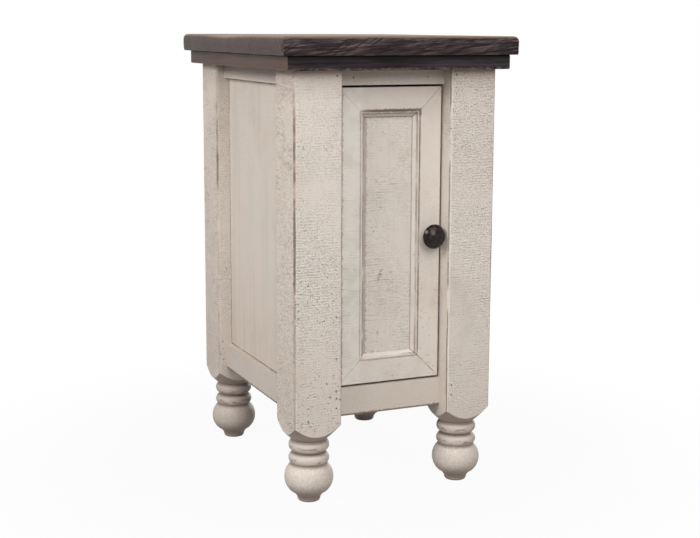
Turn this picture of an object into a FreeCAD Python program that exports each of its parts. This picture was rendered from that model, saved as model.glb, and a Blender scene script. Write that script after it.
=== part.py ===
import FreeCAD, Part
import math
import os
from types import SimpleNamespace

import Sketcher
from FreeCAD import Placement, Rotation, Vector

# Storage side table with one door: turned legs carry tenoned rails and panels, a mitred
# moulding frame and a plank top. Millimetres, +Z up, front towards -Y, origin on the floor
# under the middle of the top.

# Driving sizes, by the piece that they belong to
SIZES = {
    # Whole table
    "table_height": 635,
    "body_width": 298,
    "body_depth": 390,
    # Plank top
    "top_thickness": 25,
    "top_overhang": 23.5,
    "top_edge_crown": 1.8,
    "top_edge_rise": 4,
    "top_edge_run": 5.7,
    "top_edge_round": 1.1,
    "top_corner_round": 5,
    "top_corner_clear": 0.3,
    "plank_seam_bevel": 0.8,
    # Moulding frame under the top
    "sub_top_thickness": 19.5,
    "sub_top_overhang": 13.5,
    "sub_top_board_width": 90,
    "sub_top_edge_round": 1.6,
    # Square posts
    "post_side": 69,
    "post_edge_round": 3.4,
    # Turned feet, from the floor up
    "foot_radius": 14.2,
    "foot_round": 0.6,
    "foot_rim_radius": 15.9,
    "foot_rim_height": 4.2,
    "foot_cove_depth": 1.3,
    "bulb_end_radius": 25.4,
    "bulb_radius": 34,
    "bulb_bottom": 14.4,
    "bulb_top": 53,
    "turning_fillet": 1.6,
    "bead_radius": 28,
    "bead_groove_radius": 21,
    "lower_bead_top": 69.4,
    "upper_bead_top": 86.8,
    "neck_radius": 24.4,
    "shoulder_top": 116,
    "shoulder_round": 0.8,
    # Rails and their joints
    "front_rail_recess": 22,
    "front_rail_bottom": 117,
    "front_rail_height": 39.5,
    "side_rail_recess": 12.5,
    "side_rail_thickness": 22,
    "side_rail_bottom": 121,
    "side_rail_height": 38,
    "back_rail_recess": 14,
    "back_rail_thickness": 20,
    "top_rail_height": 20.5,
    "tenon_thickness": 9,
    "tenon_length": 16,
    "tenon_end_room": 0.5,
    "joint_fit": 0.1,
    # Side and back panels
    "side_panel_recess": 20.5,
    "panel_tongue": 9,
    "panel_groove_depth": 10,
    "back_panel_thickness": 6,
    "panel_fit": 0.3,
    # Floor, shelf and cleats
    "floor_thickness": 12,
    "shelf_thickness": 16,
    "shelf_rise": 8.75,
    "shelf_setback": 4,
    "cleat_side": 19,
    # Door
    "door_setback": 2,
    "door_thickness": 20,
    "door_latch_gap": 2,
    "door_end_gap": 2.5,
    "door_stop_gap": 0.3,
    "door_edge_round": 1.2,
    "frame_flat_width": 32,
    "quirk_width": 1.2,
    "quirk_depth": 1.3,
    "frame_bead_width": 2.6,
    "frame_bead_drop": 0.6,
    "frame_step_depth": 2.4,
    "frame_bevel_width": 4.7,
    "frame_bevel_hollow": 0.4,
    "frame_lip": 1.5,
    "door_panel_setback": 8,
    "door_panel_thickness": 6.5,
    "door_groove_depth": 9,
    "door_panel_tongue": 8,
    # Strip that the closed door stops against
    "stop_strip_thickness": 12,
    "stop_strip_height": 32,
    "stop_strip_end_room": 10,
    # Knob
    "knob_drop": 2,
    "knob_head_radius": 16.3,
    "knob_projection": 25,
    "knob_dome_height": 9,
    "knob_rim_height": 3,
    "knob_neck_radius": 6,
    "knob_neck_height": 6,
    "knob_base_radius": 8.5,
    "knob_base_height": 1.6,
    "knob_cove_depth": 1.6,
    "knob_screw_radius": 2,
    "knob_screw_reach": 10,
    "knob_screw_head_radius": 4,
    "knob_screw_head_height": 2.4,
    # Butt hinges
    "hinge_height": 50,
    "hinge_inset": 62,
    "hinge_leaf_thickness": 1.6,
    "hinge_leaf_width": 15,
    "hinge_leaf_play": 0.8,
    "hinge_barrel_radius": 3.2,
    "hinge_barrel_room": 0.4,
    "hinge_pin_radius": 1.6,
    "hinge_pin_fit": 0.05,
    "hinge_pin_head_radius": 2.5,
    "hinge_pin_head_height": 1.2,
    "hinge_knuckle_play": 0.3,
    "hinge_screw_spread": 30,
    "hinge_screw_back": 10,
    "hinge_screw_radius": 1.5,
    "hinge_screw_head_radius": 2.7,
    "hinge_screw_head_height": 1.2,
    "hinge_screw_length": 18,
    # Magnetic catch and its plate on the door
    "catch_width": 40,
    "catch_depth": 18,
    "catch_height": 13,
    "catch_flange_width": 7,
    "catch_flange_height": 3,
    "catch_edge_room": 5,
    "catch_magnet_width": 22,
    "catch_magnet_depth": 12,
    "catch_magnet_height": 7,
    "catch_magnet_proud": 0.4,
    "catch_gap": 0.3,
    "catch_screw_radius": 1.5,
    "catch_screw_head_radius": 2.8,
    "catch_screw_head_height": 1.6,
    "catch_screw_length": 12,
    "strike_width": 28,
    "strike_height": 10,
    "strike_thickness": 1.4,
    "strike_screw_head_height": 1.1,
    # Nails and wood screws
    "brad_radius": 1.1,
    "brad_length": 42,
    "brad_sink": 1.6,
    "brad_top_drop": 7,
    "brad_edge_drop": 7,
    "brad_spacing": 14,
    "stop_brad_length": 28,
    "stop_brad_inset": 25,
    "panel_nail_radius": 0.9,
    "panel_nail_length": 18,
    "panel_nail_head_radius": 2.4,
    "panel_nail_head_height": 0.8,
    "panel_nail_edge": 10,
    "wood_screw_radius": 2,
    "wood_screw_head_radius": 4,
    "wood_screw_head_height": 2.4,
    "top_screw_length": 33,
    "top_screw_spread": 80,
    "top_screw_edge": 15,
    "floor_screw_length": 33,
    "shelf_screw_length": 25,
    "cleat_screw_edge": 40,
    # Clearances that serve every hole and cut
    "hole_fit": 0.1,
    "cut_overrun": 2,
}

PLANK_NAMES = ("front_plank", "second_plank", "third_plank", "back_plank")
HINGE_KNUCKLES = 5
PANEL_NAIL_COUNT = 3
QUARTER_ROUND_SHARE = 1 - math.sqrt(0.5)
CORNER_REACH_SHARE = math.sqrt(0.5)

LEFT, RIGHT = -1, 1
FRONT, BACK = -1, 1

# Turns that lay a piece's own +Z along a way in the room
WAYS = {
    "right": Rotation(Vector(0, 1, 0), 90),
    "left": Rotation(Vector(0, 1, 0), -90),
    "back": Rotation(Vector(1, 0, 0), -90),
    "front": Rotation(Vector(1, 0, 0), 90),
    "up": Rotation(),
}


class Size:
    """A number together with the sheet formula that it is worked out from."""

    def __init__(self, number, formula):
        self.number = float(number)
        self.formula = formula

    def __add__(self, other):
        other = as_size(other)
        return Size(self.number + other.number, f"({self.formula} + {other.formula})")

    def __sub__(self, other):
        other = as_size(other)
        return Size(self.number - other.number, f"({self.formula} - {other.formula})")

    def __mul__(self, other):
        other = as_size(other)
        return Size(self.number * other.number, f"({self.formula} * {other.formula})")

    def __truediv__(self, other):
        other = as_size(other)
        return Size(self.number / other.number, f"({self.formula} / {other.formula})")

    def __rmul__(self, other):
        return as_size(other) * self

    def __neg__(self):
        return as_size(0) - self

    def root(self):
        return Size(math.sqrt(self.number), f"sqrt({self.formula})")


def as_size(value):
    return value if isinstance(value, Size) else Size(value, repr(float(value)))


def fill_sheet(document):
    """Writes the driving sizes into the sheet and returns them as formulas."""
    sheet = document.addObject("Spreadsheet::Sheet", "sizes")
    for row, (name, value) in enumerate(SIZES.items(), start=1):
        sheet.set(f"A{row}", name)
        sheet.set(f"B{row}", str(value))
        sheet.setAlias(f"B{row}", name)
    document.recompute()
    return SimpleNamespace(**{name: Size(sheet.get(name), f"sizes.{name}") for name in SIZES})


doc = FreeCAD.newDocument("side_table")
S = fill_sheet(doc)

# Places that several pieces share, worked out from the driving sizes
half_width = S.body_width / 2
half_depth = S.body_depth / 2
post_top = S.table_height - S.top_thickness - S.sub_top_thickness
inner_x = half_width - S.post_side
inner_y = half_depth - S.post_side
top_rail_bottom = post_top - S.top_rail_height
front_rail_top = S.front_rail_bottom + S.front_rail_height
side_rail_top = S.side_rail_bottom + S.side_rail_height
mortise_depth = S.tenon_length + S.tenon_end_room

door_front = S.front_rail_recess + S.door_setback - half_depth
door_back = door_front + S.door_thickness
front_rail_face = S.front_rail_recess - half_depth
front_rail_back = door_back + S.door_stop_gap
front_rail_thickness = front_rail_back - front_rail_face
door_left = S.hinge_leaf_thickness * 2 + S.hinge_leaf_play - inner_x
door_right = inner_x - S.door_latch_gap
door_bottom = front_rail_top + S.door_end_gap
door_top = top_rail_bottom - S.door_end_gap
door_middle = (door_bottom + door_top) / 2
door_member_width = S.frame_flat_width + S.quirk_width + S.frame_bead_width + S.frame_bevel_width

back_rail_face = half_depth - S.back_rail_recess
back_rail_front = back_rail_face - S.back_rail_thickness
side_rail_inner_x = half_width - S.side_rail_recess - S.side_rail_thickness
panel_outer_x = half_width - S.side_panel_recess
panel_inner_x = panel_outer_x - S.tenon_thickness
floor_bottom = front_rail_top - S.floor_thickness
shelf_bottom = door_middle + S.shelf_rise - S.shelf_thickness
shelf_front = door_back + S.shelf_setback

hinge_axis_x = S.hinge_barrel_radius + S.hinge_barrel_room - inner_x
hinge_axis_y = door_front - S.hinge_barrel_radius - S.hinge_barrel_room
knob_x = door_right - S.frame_flat_width / 2
knob_z = door_middle - S.knob_drop

pieces = {}
holes = {}


# Drawing tools

def bind(item, path, size):
    item.setExpression(path, as_size(size).formula)


def place(item, x, y, z, turn=None):
    """Puts an item at a bound place, with a fixed turn."""
    item.Placement = Placement(Vector(), turn or Rotation())
    for axis, size in zip("xyz", (x, y, z)):
        bind(item, f"Placement.Base.{axis}", size)
    return item


def add(kind, name, **sizes):
    item = doc.addObject(kind, name)
    for path, size in sizes.items():
        bind(item, path, size)
    return item


def box(name, xs, ys, zs):
    """A block between pairs of bound places."""
    spans = [high - low for low, high in (xs, ys, zs)]
    item = add("Part::Box", name, Length=spans[0], Width=spans[1], Height=spans[2])
    return place(item, xs[0], ys[0], zs[0])


def span(sign, near, far):
    """The pair near and far, measured from the middle towards one side, lowest first."""
    return (near, far) if sign > 0 else (-far, -near)


def fuse(name, parts):
    item = doc.addObject("Part::MultiFuse", name)
    item.Shapes = parts
    return item


def group(name, parts):
    item = doc.addObject("Part::Compound", name)
    item.Links = parts
    return item


def cut(name, base, tool):
    item = doc.addObject("Part::Cut", name)
    item.Base = base
    item.Tool = tool
    return item


def along(spot, way, distance):
    """The spot moved some distance along a way."""
    axis = WAYS[way].multVec(Vector(0, 0, 1))
    return [as_size(at) + distance * round(part) for at, part in zip(spot, axis)]


def rod(name, spot, way, start, end, radius):
    item = add("Part::Cylinder", name, Radius=radius, Height=end - start)
    return place(item, *along(spot, way, start), WAYS[way])


def taper(name, spot, way, length, near, far):
    item = add("Part::Cone", name, Radius1=near, Radius2=far, Height=length)
    return place(item, *spot, WAYS[way])


def arc_between(start, end, bulge):
    """An arc from start to end that swells by bulge to the right of the way along it."""
    chord = end - start
    radius = (chord.Length ** 2 / 4 + bulge ** 2) / (2 * abs(bulge))
    right = Vector(chord.y, -chord.x, 0).normalize()
    centre = (start + end) / 2 + right * (bulge - math.copysign(radius, bulge))
    first, last = (start, end) if bulge > 0 else (end, start)
    angles = [math.atan2(point.y - centre.y, point.x - centre.x) for point in (first, last)]
    if angles[1] < angles[0]:
        angles[1] += 2 * math.pi
    return Part.ArcOfCircle(Part.Circle(centre, Vector(0, 0, 1), radius), *angles)


def draw(sketch, outline):
    """Adds a closed outline of corners (x, y), or (x, y, bulge) where an arc leads on."""
    first = sketch.GeometryCount
    corners = [[as_size(value) for value in corner] for corner in outline]
    ends = []
    for number, corner in enumerate(corners):
        following = corners[(number + 1) % len(corners)]
        start = Vector(corner[0].number, corner[1].number, 0)
        end = Vector(following[0].number, following[1].number, 0)
        if len(corner) == 2:
            sketch.addGeometry(Part.LineSegment(start, end), False)
            ends.append((1, 2))
        else:
            sketch.addGeometry(arc_between(start, end, corner[2].number), False)
            ends.append((1, 2) if corner[2].number > 0 else (2, 1))
    for number, corner in enumerate(corners):
        after = (number + 1) % len(corners)
        sketch.addConstraint(Sketcher.Constraint(
            "Coincident", first + number, ends[number][1], first + after, ends[after][0]))
        for kind, size in zip(("DistanceX", "DistanceY"), corner):
            fix = sketch.addConstraint(Sketcher.Constraint(
                kind, -1, 1, first + number, ends[number][0], size.number))
            bind(sketch, f"Constraints[{fix}]", size)
        if len(corner) == 3:
            bulge = corner[2] if corner[2].number > 0 else -corner[2]
            run = corners[after][0] - corner[0]
            rise = corners[after][1] - corner[1]
            radius = (run * run + rise * rise) / (bulge * 8) + bulge / 2
            fix = sketch.addConstraint(Sketcher.Constraint("Radius", first + number, radius.number))
            bind(sketch, f"Constraints[{fix}]", radius)


def new_body(name):
    return doc.addObject("PartDesign::Body", name)


def new_sketch(body, plane, lift, *outlines):
    """A sketch on one of the body's own planes, lifted along that plane's normal."""
    sketch = body.newObject("Sketcher::SketchObject", f"{body.Name}_sketch")
    support = next(item for item in body.Origin.OriginFeatures if item.Role == plane)
    sketch.AttachmentSupport = [(support, "")]
    sketch.MapMode = "FlatFace"
    bind(sketch, "AttachmentOffset.Base.z", lift)
    for outline in outlines:
        draw(sketch, outline)
    return sketch


def pad(body, sketch, length):
    feature = body.newObject("PartDesign::Pad", f"{body.Name}_pad")
    feature.Profile = sketch
    bind(feature, "Length", length)
    return feature


def remove(body, kind, sketch, setup):
    """Adds a cutting feature and stops if it takes nothing away."""
    doc.recompute()
    before = body.Shape.Volume
    feature = body.newObject(kind, f"{body.Name}_cut")
    feature.Profile = sketch
    setup(feature)
    doc.recompute()
    if body.Shape.Volume >= before:
        raise RuntimeError(f"{body.Name}: {kind} cut nothing")


def pocket(body, sketch, depth, upward=False):
    def setup(feature):
        bind(feature, "Length", depth)
        feature.Reversed = upward
    remove(body, "PartDesign::Pocket", sketch, setup)


def turn_away(body, sketch):
    def setup(feature):
        feature.ReferenceAxis = (sketch, ["V_Axis"])
        feature.Angle = 360
    remove(body, "PartDesign::Groove", sketch, setup)


def rectangle(xs, ys):
    return [(xs[0], ys[0]), (xs[1], ys[0]), (xs[1], ys[1]), (xs[0], ys[1])]


def rounded_rectangle(reach_x, reach_y, radius):
    """A rectangle about the middle, with rounded corners."""
    flat_x = reach_x - radius
    flat_y = reach_y - radius
    bulge = radius * QUARTER_ROUND_SHARE
    return [
        (-flat_x, -reach_y), (flat_x, -reach_y, bulge),
        (reach_x, -flat_y), (reach_x, flat_y, bulge),
        (flat_x, reach_y), (-flat_x, reach_y, bulge),
        (-reach_x, flat_y), (-reach_x, -flat_y, bulge),
    ]


# Fasteners: each comes with the hole that it needs in the pieces that it passes

def drill(tool, names):
    for name in names:
        holes.setdefault(name, []).append(tool)


def brad(name, spot, way, length, through):
    """A headless nail, driven below the surface at the spot."""
    wide = S.brad_radius + S.hole_fit
    drill(rod(f"{name}_hole", spot, way, -S.cut_overrun, length + S.hole_fit, wide), through)
    return rod(name, spot, way, S.brad_sink, length, S.brad_radius)


def panel_nail(name, spot, way, through):
    """A nail whose flat head stands on the surface at the spot."""
    wide = S.panel_nail_radius + S.hole_fit
    reach = S.panel_nail_length + S.hole_fit
    drill(rod(f"{name}_hole", spot, way, -S.cut_overrun, reach, wide), through)
    head = rod(f"{name}_head", spot, way, -S.panel_nail_head_height, as_size(0), S.panel_nail_head_radius)
    shank = rod(f"{name}_shank", spot, way, as_size(0), S.panel_nail_length, S.panel_nail_radius)
    return fuse(name, [head, shank])


def screw(name, spot, way, length, radius, head_radius, head_height, through):
    """A countersunk screw, its head flush with the surface at the spot."""
    wide = radius + S.hole_fit
    wide_head = head_radius + S.hole_fit
    drill(fuse(f"{name}_hole", [
        rod(f"{name}_hole_mouth", spot, way, -S.cut_overrun, as_size(0), wide_head),
        taper(f"{name}_hole_sink", spot, way, head_height, wide_head, wide),
        rod(f"{name}_hole_bore", spot, way, as_size(0), length + S.hole_fit, wide),
    ]), through)
    head = taper(f"{name}_head", spot, way, head_height, head_radius, radius)
    shank = rod(f"{name}_shank", spot, way, as_size(0), length, radius)
    return fuse(name, [head, shank])


def wood_screw(name, spot, way, length, through):
    return screw(name, spot, way, length, S.wood_screw_radius,
                 S.wood_screw_head_radius, S.wood_screw_head_height, through)


# Legs

def leg_turning():
    """The waste outside the turned foot, as radius and height, up the foot and round it."""
    bead_swell = S.bead_radius - (S.bead_groove_radius + S.bulb_end_radius) / 2
    upper_swell = S.bead_radius - (S.bead_groove_radius + S.neck_radius) / 2
    reach = S.post_side * CORNER_REACH_SHARE + S.cut_overrun
    return [
        (S.foot_radius, 0, S.foot_round),
        (S.foot_rim_radius, S.foot_rim_height, -S.foot_cove_depth),
        (S.bulb_end_radius, S.bulb_bottom, S.bulb_radius - S.bulb_end_radius),
        (S.bulb_end_radius, S.bulb_top),
        (S.bulb_end_radius, S.bulb_top + S.turning_fillet, bead_swell),
        (S.bead_groove_radius, S.lower_bead_top),
        (S.bead_groove_radius, S.lower_bead_top + S.turning_fillet, upper_swell),
        (S.neck_radius, S.upper_bead_top),
        (S.neck_radius, S.upper_bead_top + S.turning_fillet, S.shoulder_round),
        (reach, S.shoulder_top),
        (reach, -S.cut_overrun),
        (S.foot_radius, -S.cut_overrun),
    ]


def shifted(pair, centre):
    return pair[0] - centre, pair[1] - centre


def grown(pair, room):
    return pair[0] - room, pair[1] + room


def middle_tenon(faces):
    """The tenon's two faces, in the middle of a rail's thickness."""
    middle = (faces[0] + faces[1]) / 2
    return middle - S.tenon_thickness / 2, middle + S.tenon_thickness / 2


FRONT_RAIL_FACES = (front_rail_face, front_rail_back)
BACK_RAIL_FACES = (back_rail_front, back_rail_face)


def make_leg(name, side, end):
    """A square post turned to a foot, mortised for two rails and grooved for the side panel."""
    centre_x = (half_width - S.post_side / 2) * side
    centre_y = (half_depth - S.post_side / 2) * end
    body = new_body(name)
    reach = S.post_side / 2
    pad(body, new_sketch(body, "XY_Plane", 0, rounded_rectangle(reach, reach, S.post_edge_round)), post_top)
    turn_away(body, new_sketch(body, "XZ_Plane", 0, leg_turning()))

    panel_xs = grown(span(side, panel_inner_x, panel_outer_x), S.joint_fit)
    panel_ys = span(end, inner_y - S.cut_overrun, inner_y + mortise_depth)
    outline = rectangle(shifted(panel_xs, centre_x), shifted(panel_ys, centre_y))
    over_post = post_top + S.cut_overrun
    foot = S.side_rail_bottom - S.joint_fit
    pocket(body, new_sketch(body, "XY_Plane", foot, outline), over_post - foot, True)

    faces = FRONT_RAIL_FACES if end == FRONT else BACK_RAIL_FACES
    rail_xs = span(side, inner_x - S.cut_overrun, inner_x + mortise_depth)
    rail_ys = grown(middle_tenon(faces), S.joint_fit)
    outline = rectangle(shifted(rail_xs, centre_x), shifted(rail_ys, centre_y))
    foot = S.front_rail_bottom - S.joint_fit
    height = S.front_rail_height + S.joint_fit * 2
    pocket(body, new_sketch(body, "XY_Plane", foot, outline), height, True)
    foot = top_rail_bottom - S.joint_fit
    pocket(body, new_sketch(body, "XY_Plane", foot, outline), over_post - foot, True)
    pieces[name] = place(body, centre_x, centre_y, 0)


# Rails

def rail_outline(reach, faces, tenon):
    """A rail from above, between two posts, with a tenon on each end."""
    end = reach + S.tenon_length
    return [
        (-end, tenon[0]), (-reach, tenon[0]), (-reach, faces[0]), (reach, faces[0]),
        (reach, tenon[0]), (end, tenon[0]), (end, tenon[1]), (reach, tenon[1]),
        (reach, faces[1]), (-reach, faces[1]), (-reach, tenon[1]), (-end, tenon[1]),
    ]


def make_rail(name, outline, bottom, height):
    body = new_body(name)
    pad(body, new_sketch(body, "XY_Plane", bottom, outline), height)
    pieces[name] = body
    return body


def make_cross_rails(label, faces):
    """The top and bottom rails across the front or the back."""
    outline = rail_outline(inner_x, faces, middle_tenon(faces))
    make_rail(f"{label}_top_rail", outline, top_rail_bottom, S.top_rail_height)
    make_rail(f"{label}_bottom_rail", outline, S.front_rail_bottom, S.front_rail_height)


def make_side_rails(label, side):
    """The top and bottom rails of one side, grooved for the panel between them."""
    faces = span(side, side_rail_inner_x, half_width - S.side_rail_recess)
    tenon = span(side, panel_inner_x, panel_outer_x)
    outline = [(x, y) for y, x in rail_outline(inner_y, faces, tenon)]
    reach = inner_y + S.tenon_length + S.cut_overrun
    groove = rectangle(grown(tenon, S.joint_fit), (-reach, reach))
    top = make_rail(f"{label}_top_rail", outline, top_rail_bottom, S.top_rail_height)
    pocket(top, new_sketch(top, "XY_Plane", top_rail_bottom, groove), S.panel_groove_depth, True)
    bottom = make_rail(f"{label}_bottom_rail", outline, S.side_rail_bottom, S.side_rail_height)
    pocket(bottom, new_sketch(bottom, "XY_Plane", side_rail_top, groove), S.panel_groove_depth)


# Panels, floor and shelf

def make_side_panel(name, side):
    reach = inner_y + S.panel_tongue
    pieces[name] = box(
        name,
        span(side, panel_inner_x, panel_outer_x),
        (-reach, reach),
        (side_rail_top - S.panel_tongue, top_rail_bottom + S.panel_tongue),
    )


def make_back_panel():
    reach = inner_x - S.panel_fit
    pieces["back_panel"] = box(
        "back_panel",
        (-reach, reach),
        (back_rail_face, back_rail_face + S.back_panel_thickness),
        (S.front_rail_bottom, post_top - S.panel_fit),
    )


def make_notched_board(name, wide_x, front_y, back_y, bottom, thickness):
    """A flat board across the cabinet, notched round the four posts."""
    narrow_x = inner_x - S.panel_fit
    notch_y = inner_y - S.panel_fit
    body = new_body(name)
    outline = [
        (-narrow_x, front_y), (narrow_x, front_y), (narrow_x, -notch_y), (wide_x, -notch_y),
        (wide_x, notch_y), (narrow_x, notch_y), (narrow_x, back_y), (-narrow_x, back_y),
        (-narrow_x, notch_y), (-wide_x, notch_y), (-wide_x, -notch_y), (-narrow_x, -notch_y),
    ]
    pad(body, new_sketch(body, "XY_Plane", bottom, outline), thickness)
    pieces[name] = body


def make_cleat(name, side, wall_x, top):
    """A square strip along one side, under the board that it carries."""
    reach = inner_y - S.panel_fit
    pieces[name] = box(
        name,
        span(side, wall_x - S.cleat_side, wall_x),
        (-reach, reach),
        (top - S.cleat_side, top),
    )


def make_inside():
    make_notched_board("floor_panel", side_rail_inner_x - S.panel_fit, front_rail_back + S.panel_fit,
                       back_rail_front - S.panel_fit, floor_bottom, S.floor_thickness)
    make_notched_board("shelf", panel_inner_x - S.panel_fit, shelf_front,
                       back_rail_face - S.panel_fit, shelf_bottom, S.shelf_thickness)
    for label, side in (("left", LEFT), ("right", RIGHT)):
        make_cleat(f"{label}_floor_cleat", side, side_rail_inner_x, floor_bottom)
        make_cleat(f"{label}_shelf_cleat", side, panel_inner_x, shelf_bottom)
    reach = inner_x - S.stop_strip_end_room
    pieces["door_stop"] = box(
        "door_stop",
        (-reach, reach),
        (front_rail_back, front_rail_back + S.stop_strip_thickness),
        (post_top - S.stop_strip_height, post_top),
    )


# Mitred frames: the moulding under the top and the door

def make_mitred_strip(name, length, width, low, high, section, spot, turn):
    """A moulded strip, its ends cut at 45 degrees, inwards from its outer edge."""
    body = new_body(name)
    pad(body, new_sketch(body, "YZ_Plane", 0, section), length)
    over = S.cut_overrun
    near = [(-over, -over), (width + over, width + over), (-over, width + over)]
    far = [
        (length + over, -over), (length + over, width + over),
        (length - width - over, width + over),
    ]
    pocket(body, new_sketch(body, "XY_Plane", high + over, near, far), high - low + over * 2)
    pieces[name] = place(body, *spot, turn)


def sub_top_section():
    """A flat board with its outer edge eased, from the outer edge inwards."""
    ease = S.sub_top_edge_round
    bulge = ease * QUARTER_ROUND_SHARE
    return [
        (ease, 0), (S.sub_top_board_width, 0), (S.sub_top_board_width, S.sub_top_thickness),
        (ease, S.sub_top_thickness, bulge), (0, S.sub_top_thickness - ease), (0, ease, bulge),
    ]


def make_sub_top():
    x = half_width + S.sub_top_overhang
    y = half_depth + S.sub_top_overhang
    runs = (
        ("front_sub_top", x * 2, (-x, -y), 0),
        ("right_sub_top", y * 2, (x, -y), 90),
        ("back_sub_top", x * 2, (x, y), 180),
        ("left_sub_top", y * 2, (-x, y), 270),
    )
    for name, length, corner, angle in runs:
        make_mitred_strip(name, length, S.sub_top_board_width, as_size(0), S.sub_top_thickness,
                          sub_top_section(), (*corner, post_top), Rotation(Vector(0, 0, 1), angle))


def door_member_section():
    """Flat face, quirk, bead, step, bevel and panel groove, from the outer edge inwards."""
    ease = S.door_edge_round
    inner = door_member_width
    bevel_top = inner - S.frame_bevel_width
    bead_start = S.frame_flat_width + S.quirk_width
    groove_front = -S.door_panel_setback + S.joint_fit
    groove_back = -S.door_panel_setback - S.door_panel_thickness - S.joint_fit
    groove_end = inner - S.door_groove_depth
    return [
        (0, -S.door_thickness), (inner, -S.door_thickness),
        (inner, groove_back), (groove_end, groove_back), (groove_end, groove_front), (inner, groove_front),
        (inner, groove_front + S.frame_lip, -S.frame_bevel_hollow),
        (bevel_top, -S.frame_step_depth), (bevel_top, -S.frame_bead_drop, S.frame_bead_drop),
        (bead_start, -S.frame_bead_drop), (bead_start - S.quirk_width / 2, -S.quirk_depth),
        (S.frame_flat_width, 0), (ease, 0, ease * QUARTER_ROUND_SHARE), (0, -ease),
    ]


def make_door():
    upright = Rotation(Vector(1, 0, 0), 90)
    width = door_right - door_left
    height = door_top - door_bottom
    runs = (
        ("door_bottom_rail", width, (door_left, door_bottom), 0),
        ("door_latch_stile", height, (door_right, door_bottom), -90),
        ("door_top_rail", width, (door_right, door_top), -180),
        ("door_hinge_stile", height, (door_left, door_top), -270),
    )
    for name, length, (x, z), angle in runs:
        turn = Rotation(Vector(0, 1, 0), angle).multiply(upright)
        make_mitred_strip(name, length, door_member_width, -S.door_thickness, as_size(0),
                          door_member_section(), (x, door_front, z), turn)
    edge = door_member_width - S.door_panel_tongue
    front = door_front + S.door_panel_setback
    pieces["door_panel"] = box(
        "door_panel",
        (door_left + edge, door_right - edge),
        (front, front + S.door_panel_thickness),
        (door_bottom + edge, door_top - edge),
    )


# Plank top

def make_top():
    """Planks along the width, trimmed to one form with crowned edges and rounded corners."""
    reach_x = half_width + S.top_overhang
    reach_y = half_depth + S.top_overhang
    thick = S.top_thickness
    crown = S.top_edge_crown
    crown_top = thick - S.top_edge_rise
    bulge = S.top_edge_round
    clear = S.top_corner_clear
    seam = S.plank_seam_bevel
    over = S.cut_overrun

    def crowned_outline(reach):
        flank = reach - crown
        flat = flank - S.top_edge_run
        return [
            (-flank, 0), (flank, 0, crown), (flank, crown_top, bulge),
            (flat, thick), (-flat, thick, bulge), (-flank, crown_top, crown),
        ]

    def long_pad(name, plane, outline, reach):
        body = new_body(name)
        pad(body, new_sketch(body, plane, -(reach + over), outline), (reach + over) * 2)
        return body

    ends = long_pad("top_ends_form", "XZ_Plane", crowned_outline(reach_x), reach_y)
    edges = long_pad("top_edges_form", "YZ_Plane", crowned_outline(reach_y), reach_x)
    corners = long_pad("top_corners_form", "XY_Plane", rounded_rectangle(
        reach_x + clear, reach_y + clear, S.top_corner_round), thick)
    count = len(PLANK_NAMES)
    pitch = reach_y * 2 / count
    for number, name in enumerate(PLANK_NAMES):
        low = pitch * number - reach_y - (over if number == 0 else 0)
        high = pitch * (number + 1) - reach_y + (over if number == count - 1 else 0)
        board = long_pad(f"{name}_board", "YZ_Plane", [
            (low, -over), (high, -over), (high, thick - seam), (high - seam, thick),
            (low + seam, thick), (low, thick - seam),
        ], reach_x)
        plank = doc.addObject("Part::MultiCommon", name)
        plank.Shapes = [board, ends, edges, corners]
        pieces[name] = place(plank, 0, 0, S.table_height - thick)


# Knob

def dome_bulge(radius, height):
    """The height of a round dome's half arc over its chord."""
    chord = (radius * radius + height * height).root()
    return chord * (chord - radius) / (height * 2)


def make_knob():
    bore = S.knob_screw_radius + S.hole_fit
    bore_depth = S.knob_screw_reach + S.hole_fit
    rim_top = S.knob_projection - S.knob_dome_height
    rim_bottom = rim_top - S.knob_rim_height
    neck_end = S.knob_base_height + S.knob_neck_height
    body = new_body("knob")
    sketch = new_sketch(body, "XZ_Plane", 0, [
        (bore, 0), (S.knob_base_radius, 0),
        (S.knob_base_radius, S.knob_base_height, -S.knob_cove_depth / 2),
        (S.knob_neck_radius, neck_end, -S.knob_cove_depth),
        (S.knob_head_radius, rim_bottom, S.knob_rim_height / 4),
        (S.knob_head_radius, rim_top, dome_bulge(S.knob_head_radius, S.knob_dome_height)),
        (0, S.knob_projection), (0, bore_depth), (bore, bore_depth),
    ])
    feature = body.newObject("PartDesign::Revolution", "knob_turning")
    feature.Profile = sketch
    feature.ReferenceAxis = (sketch, ["V_Axis"])
    feature.Angle = 360
    pieces["knob"] = place(body, knob_x, door_front, knob_z, WAYS["front"])

    spot = (knob_x, door_back, knob_z)
    reach = S.door_thickness + S.knob_screw_reach
    drill(rod("knob_screw_hole", spot, "front", -S.cut_overrun, reach, bore), ["door_latch_stile"])
    head = rod("knob_screw_head", spot, "front", -S.knob_screw_head_height, as_size(0),
               S.knob_screw_head_radius)
    shank = rod("knob_screw_shank", spot, "front", as_size(0), reach, S.knob_screw_radius)
    pieces["knob_screw"] = fuse("knob_screw", [head, shank])


# Hinges

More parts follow.
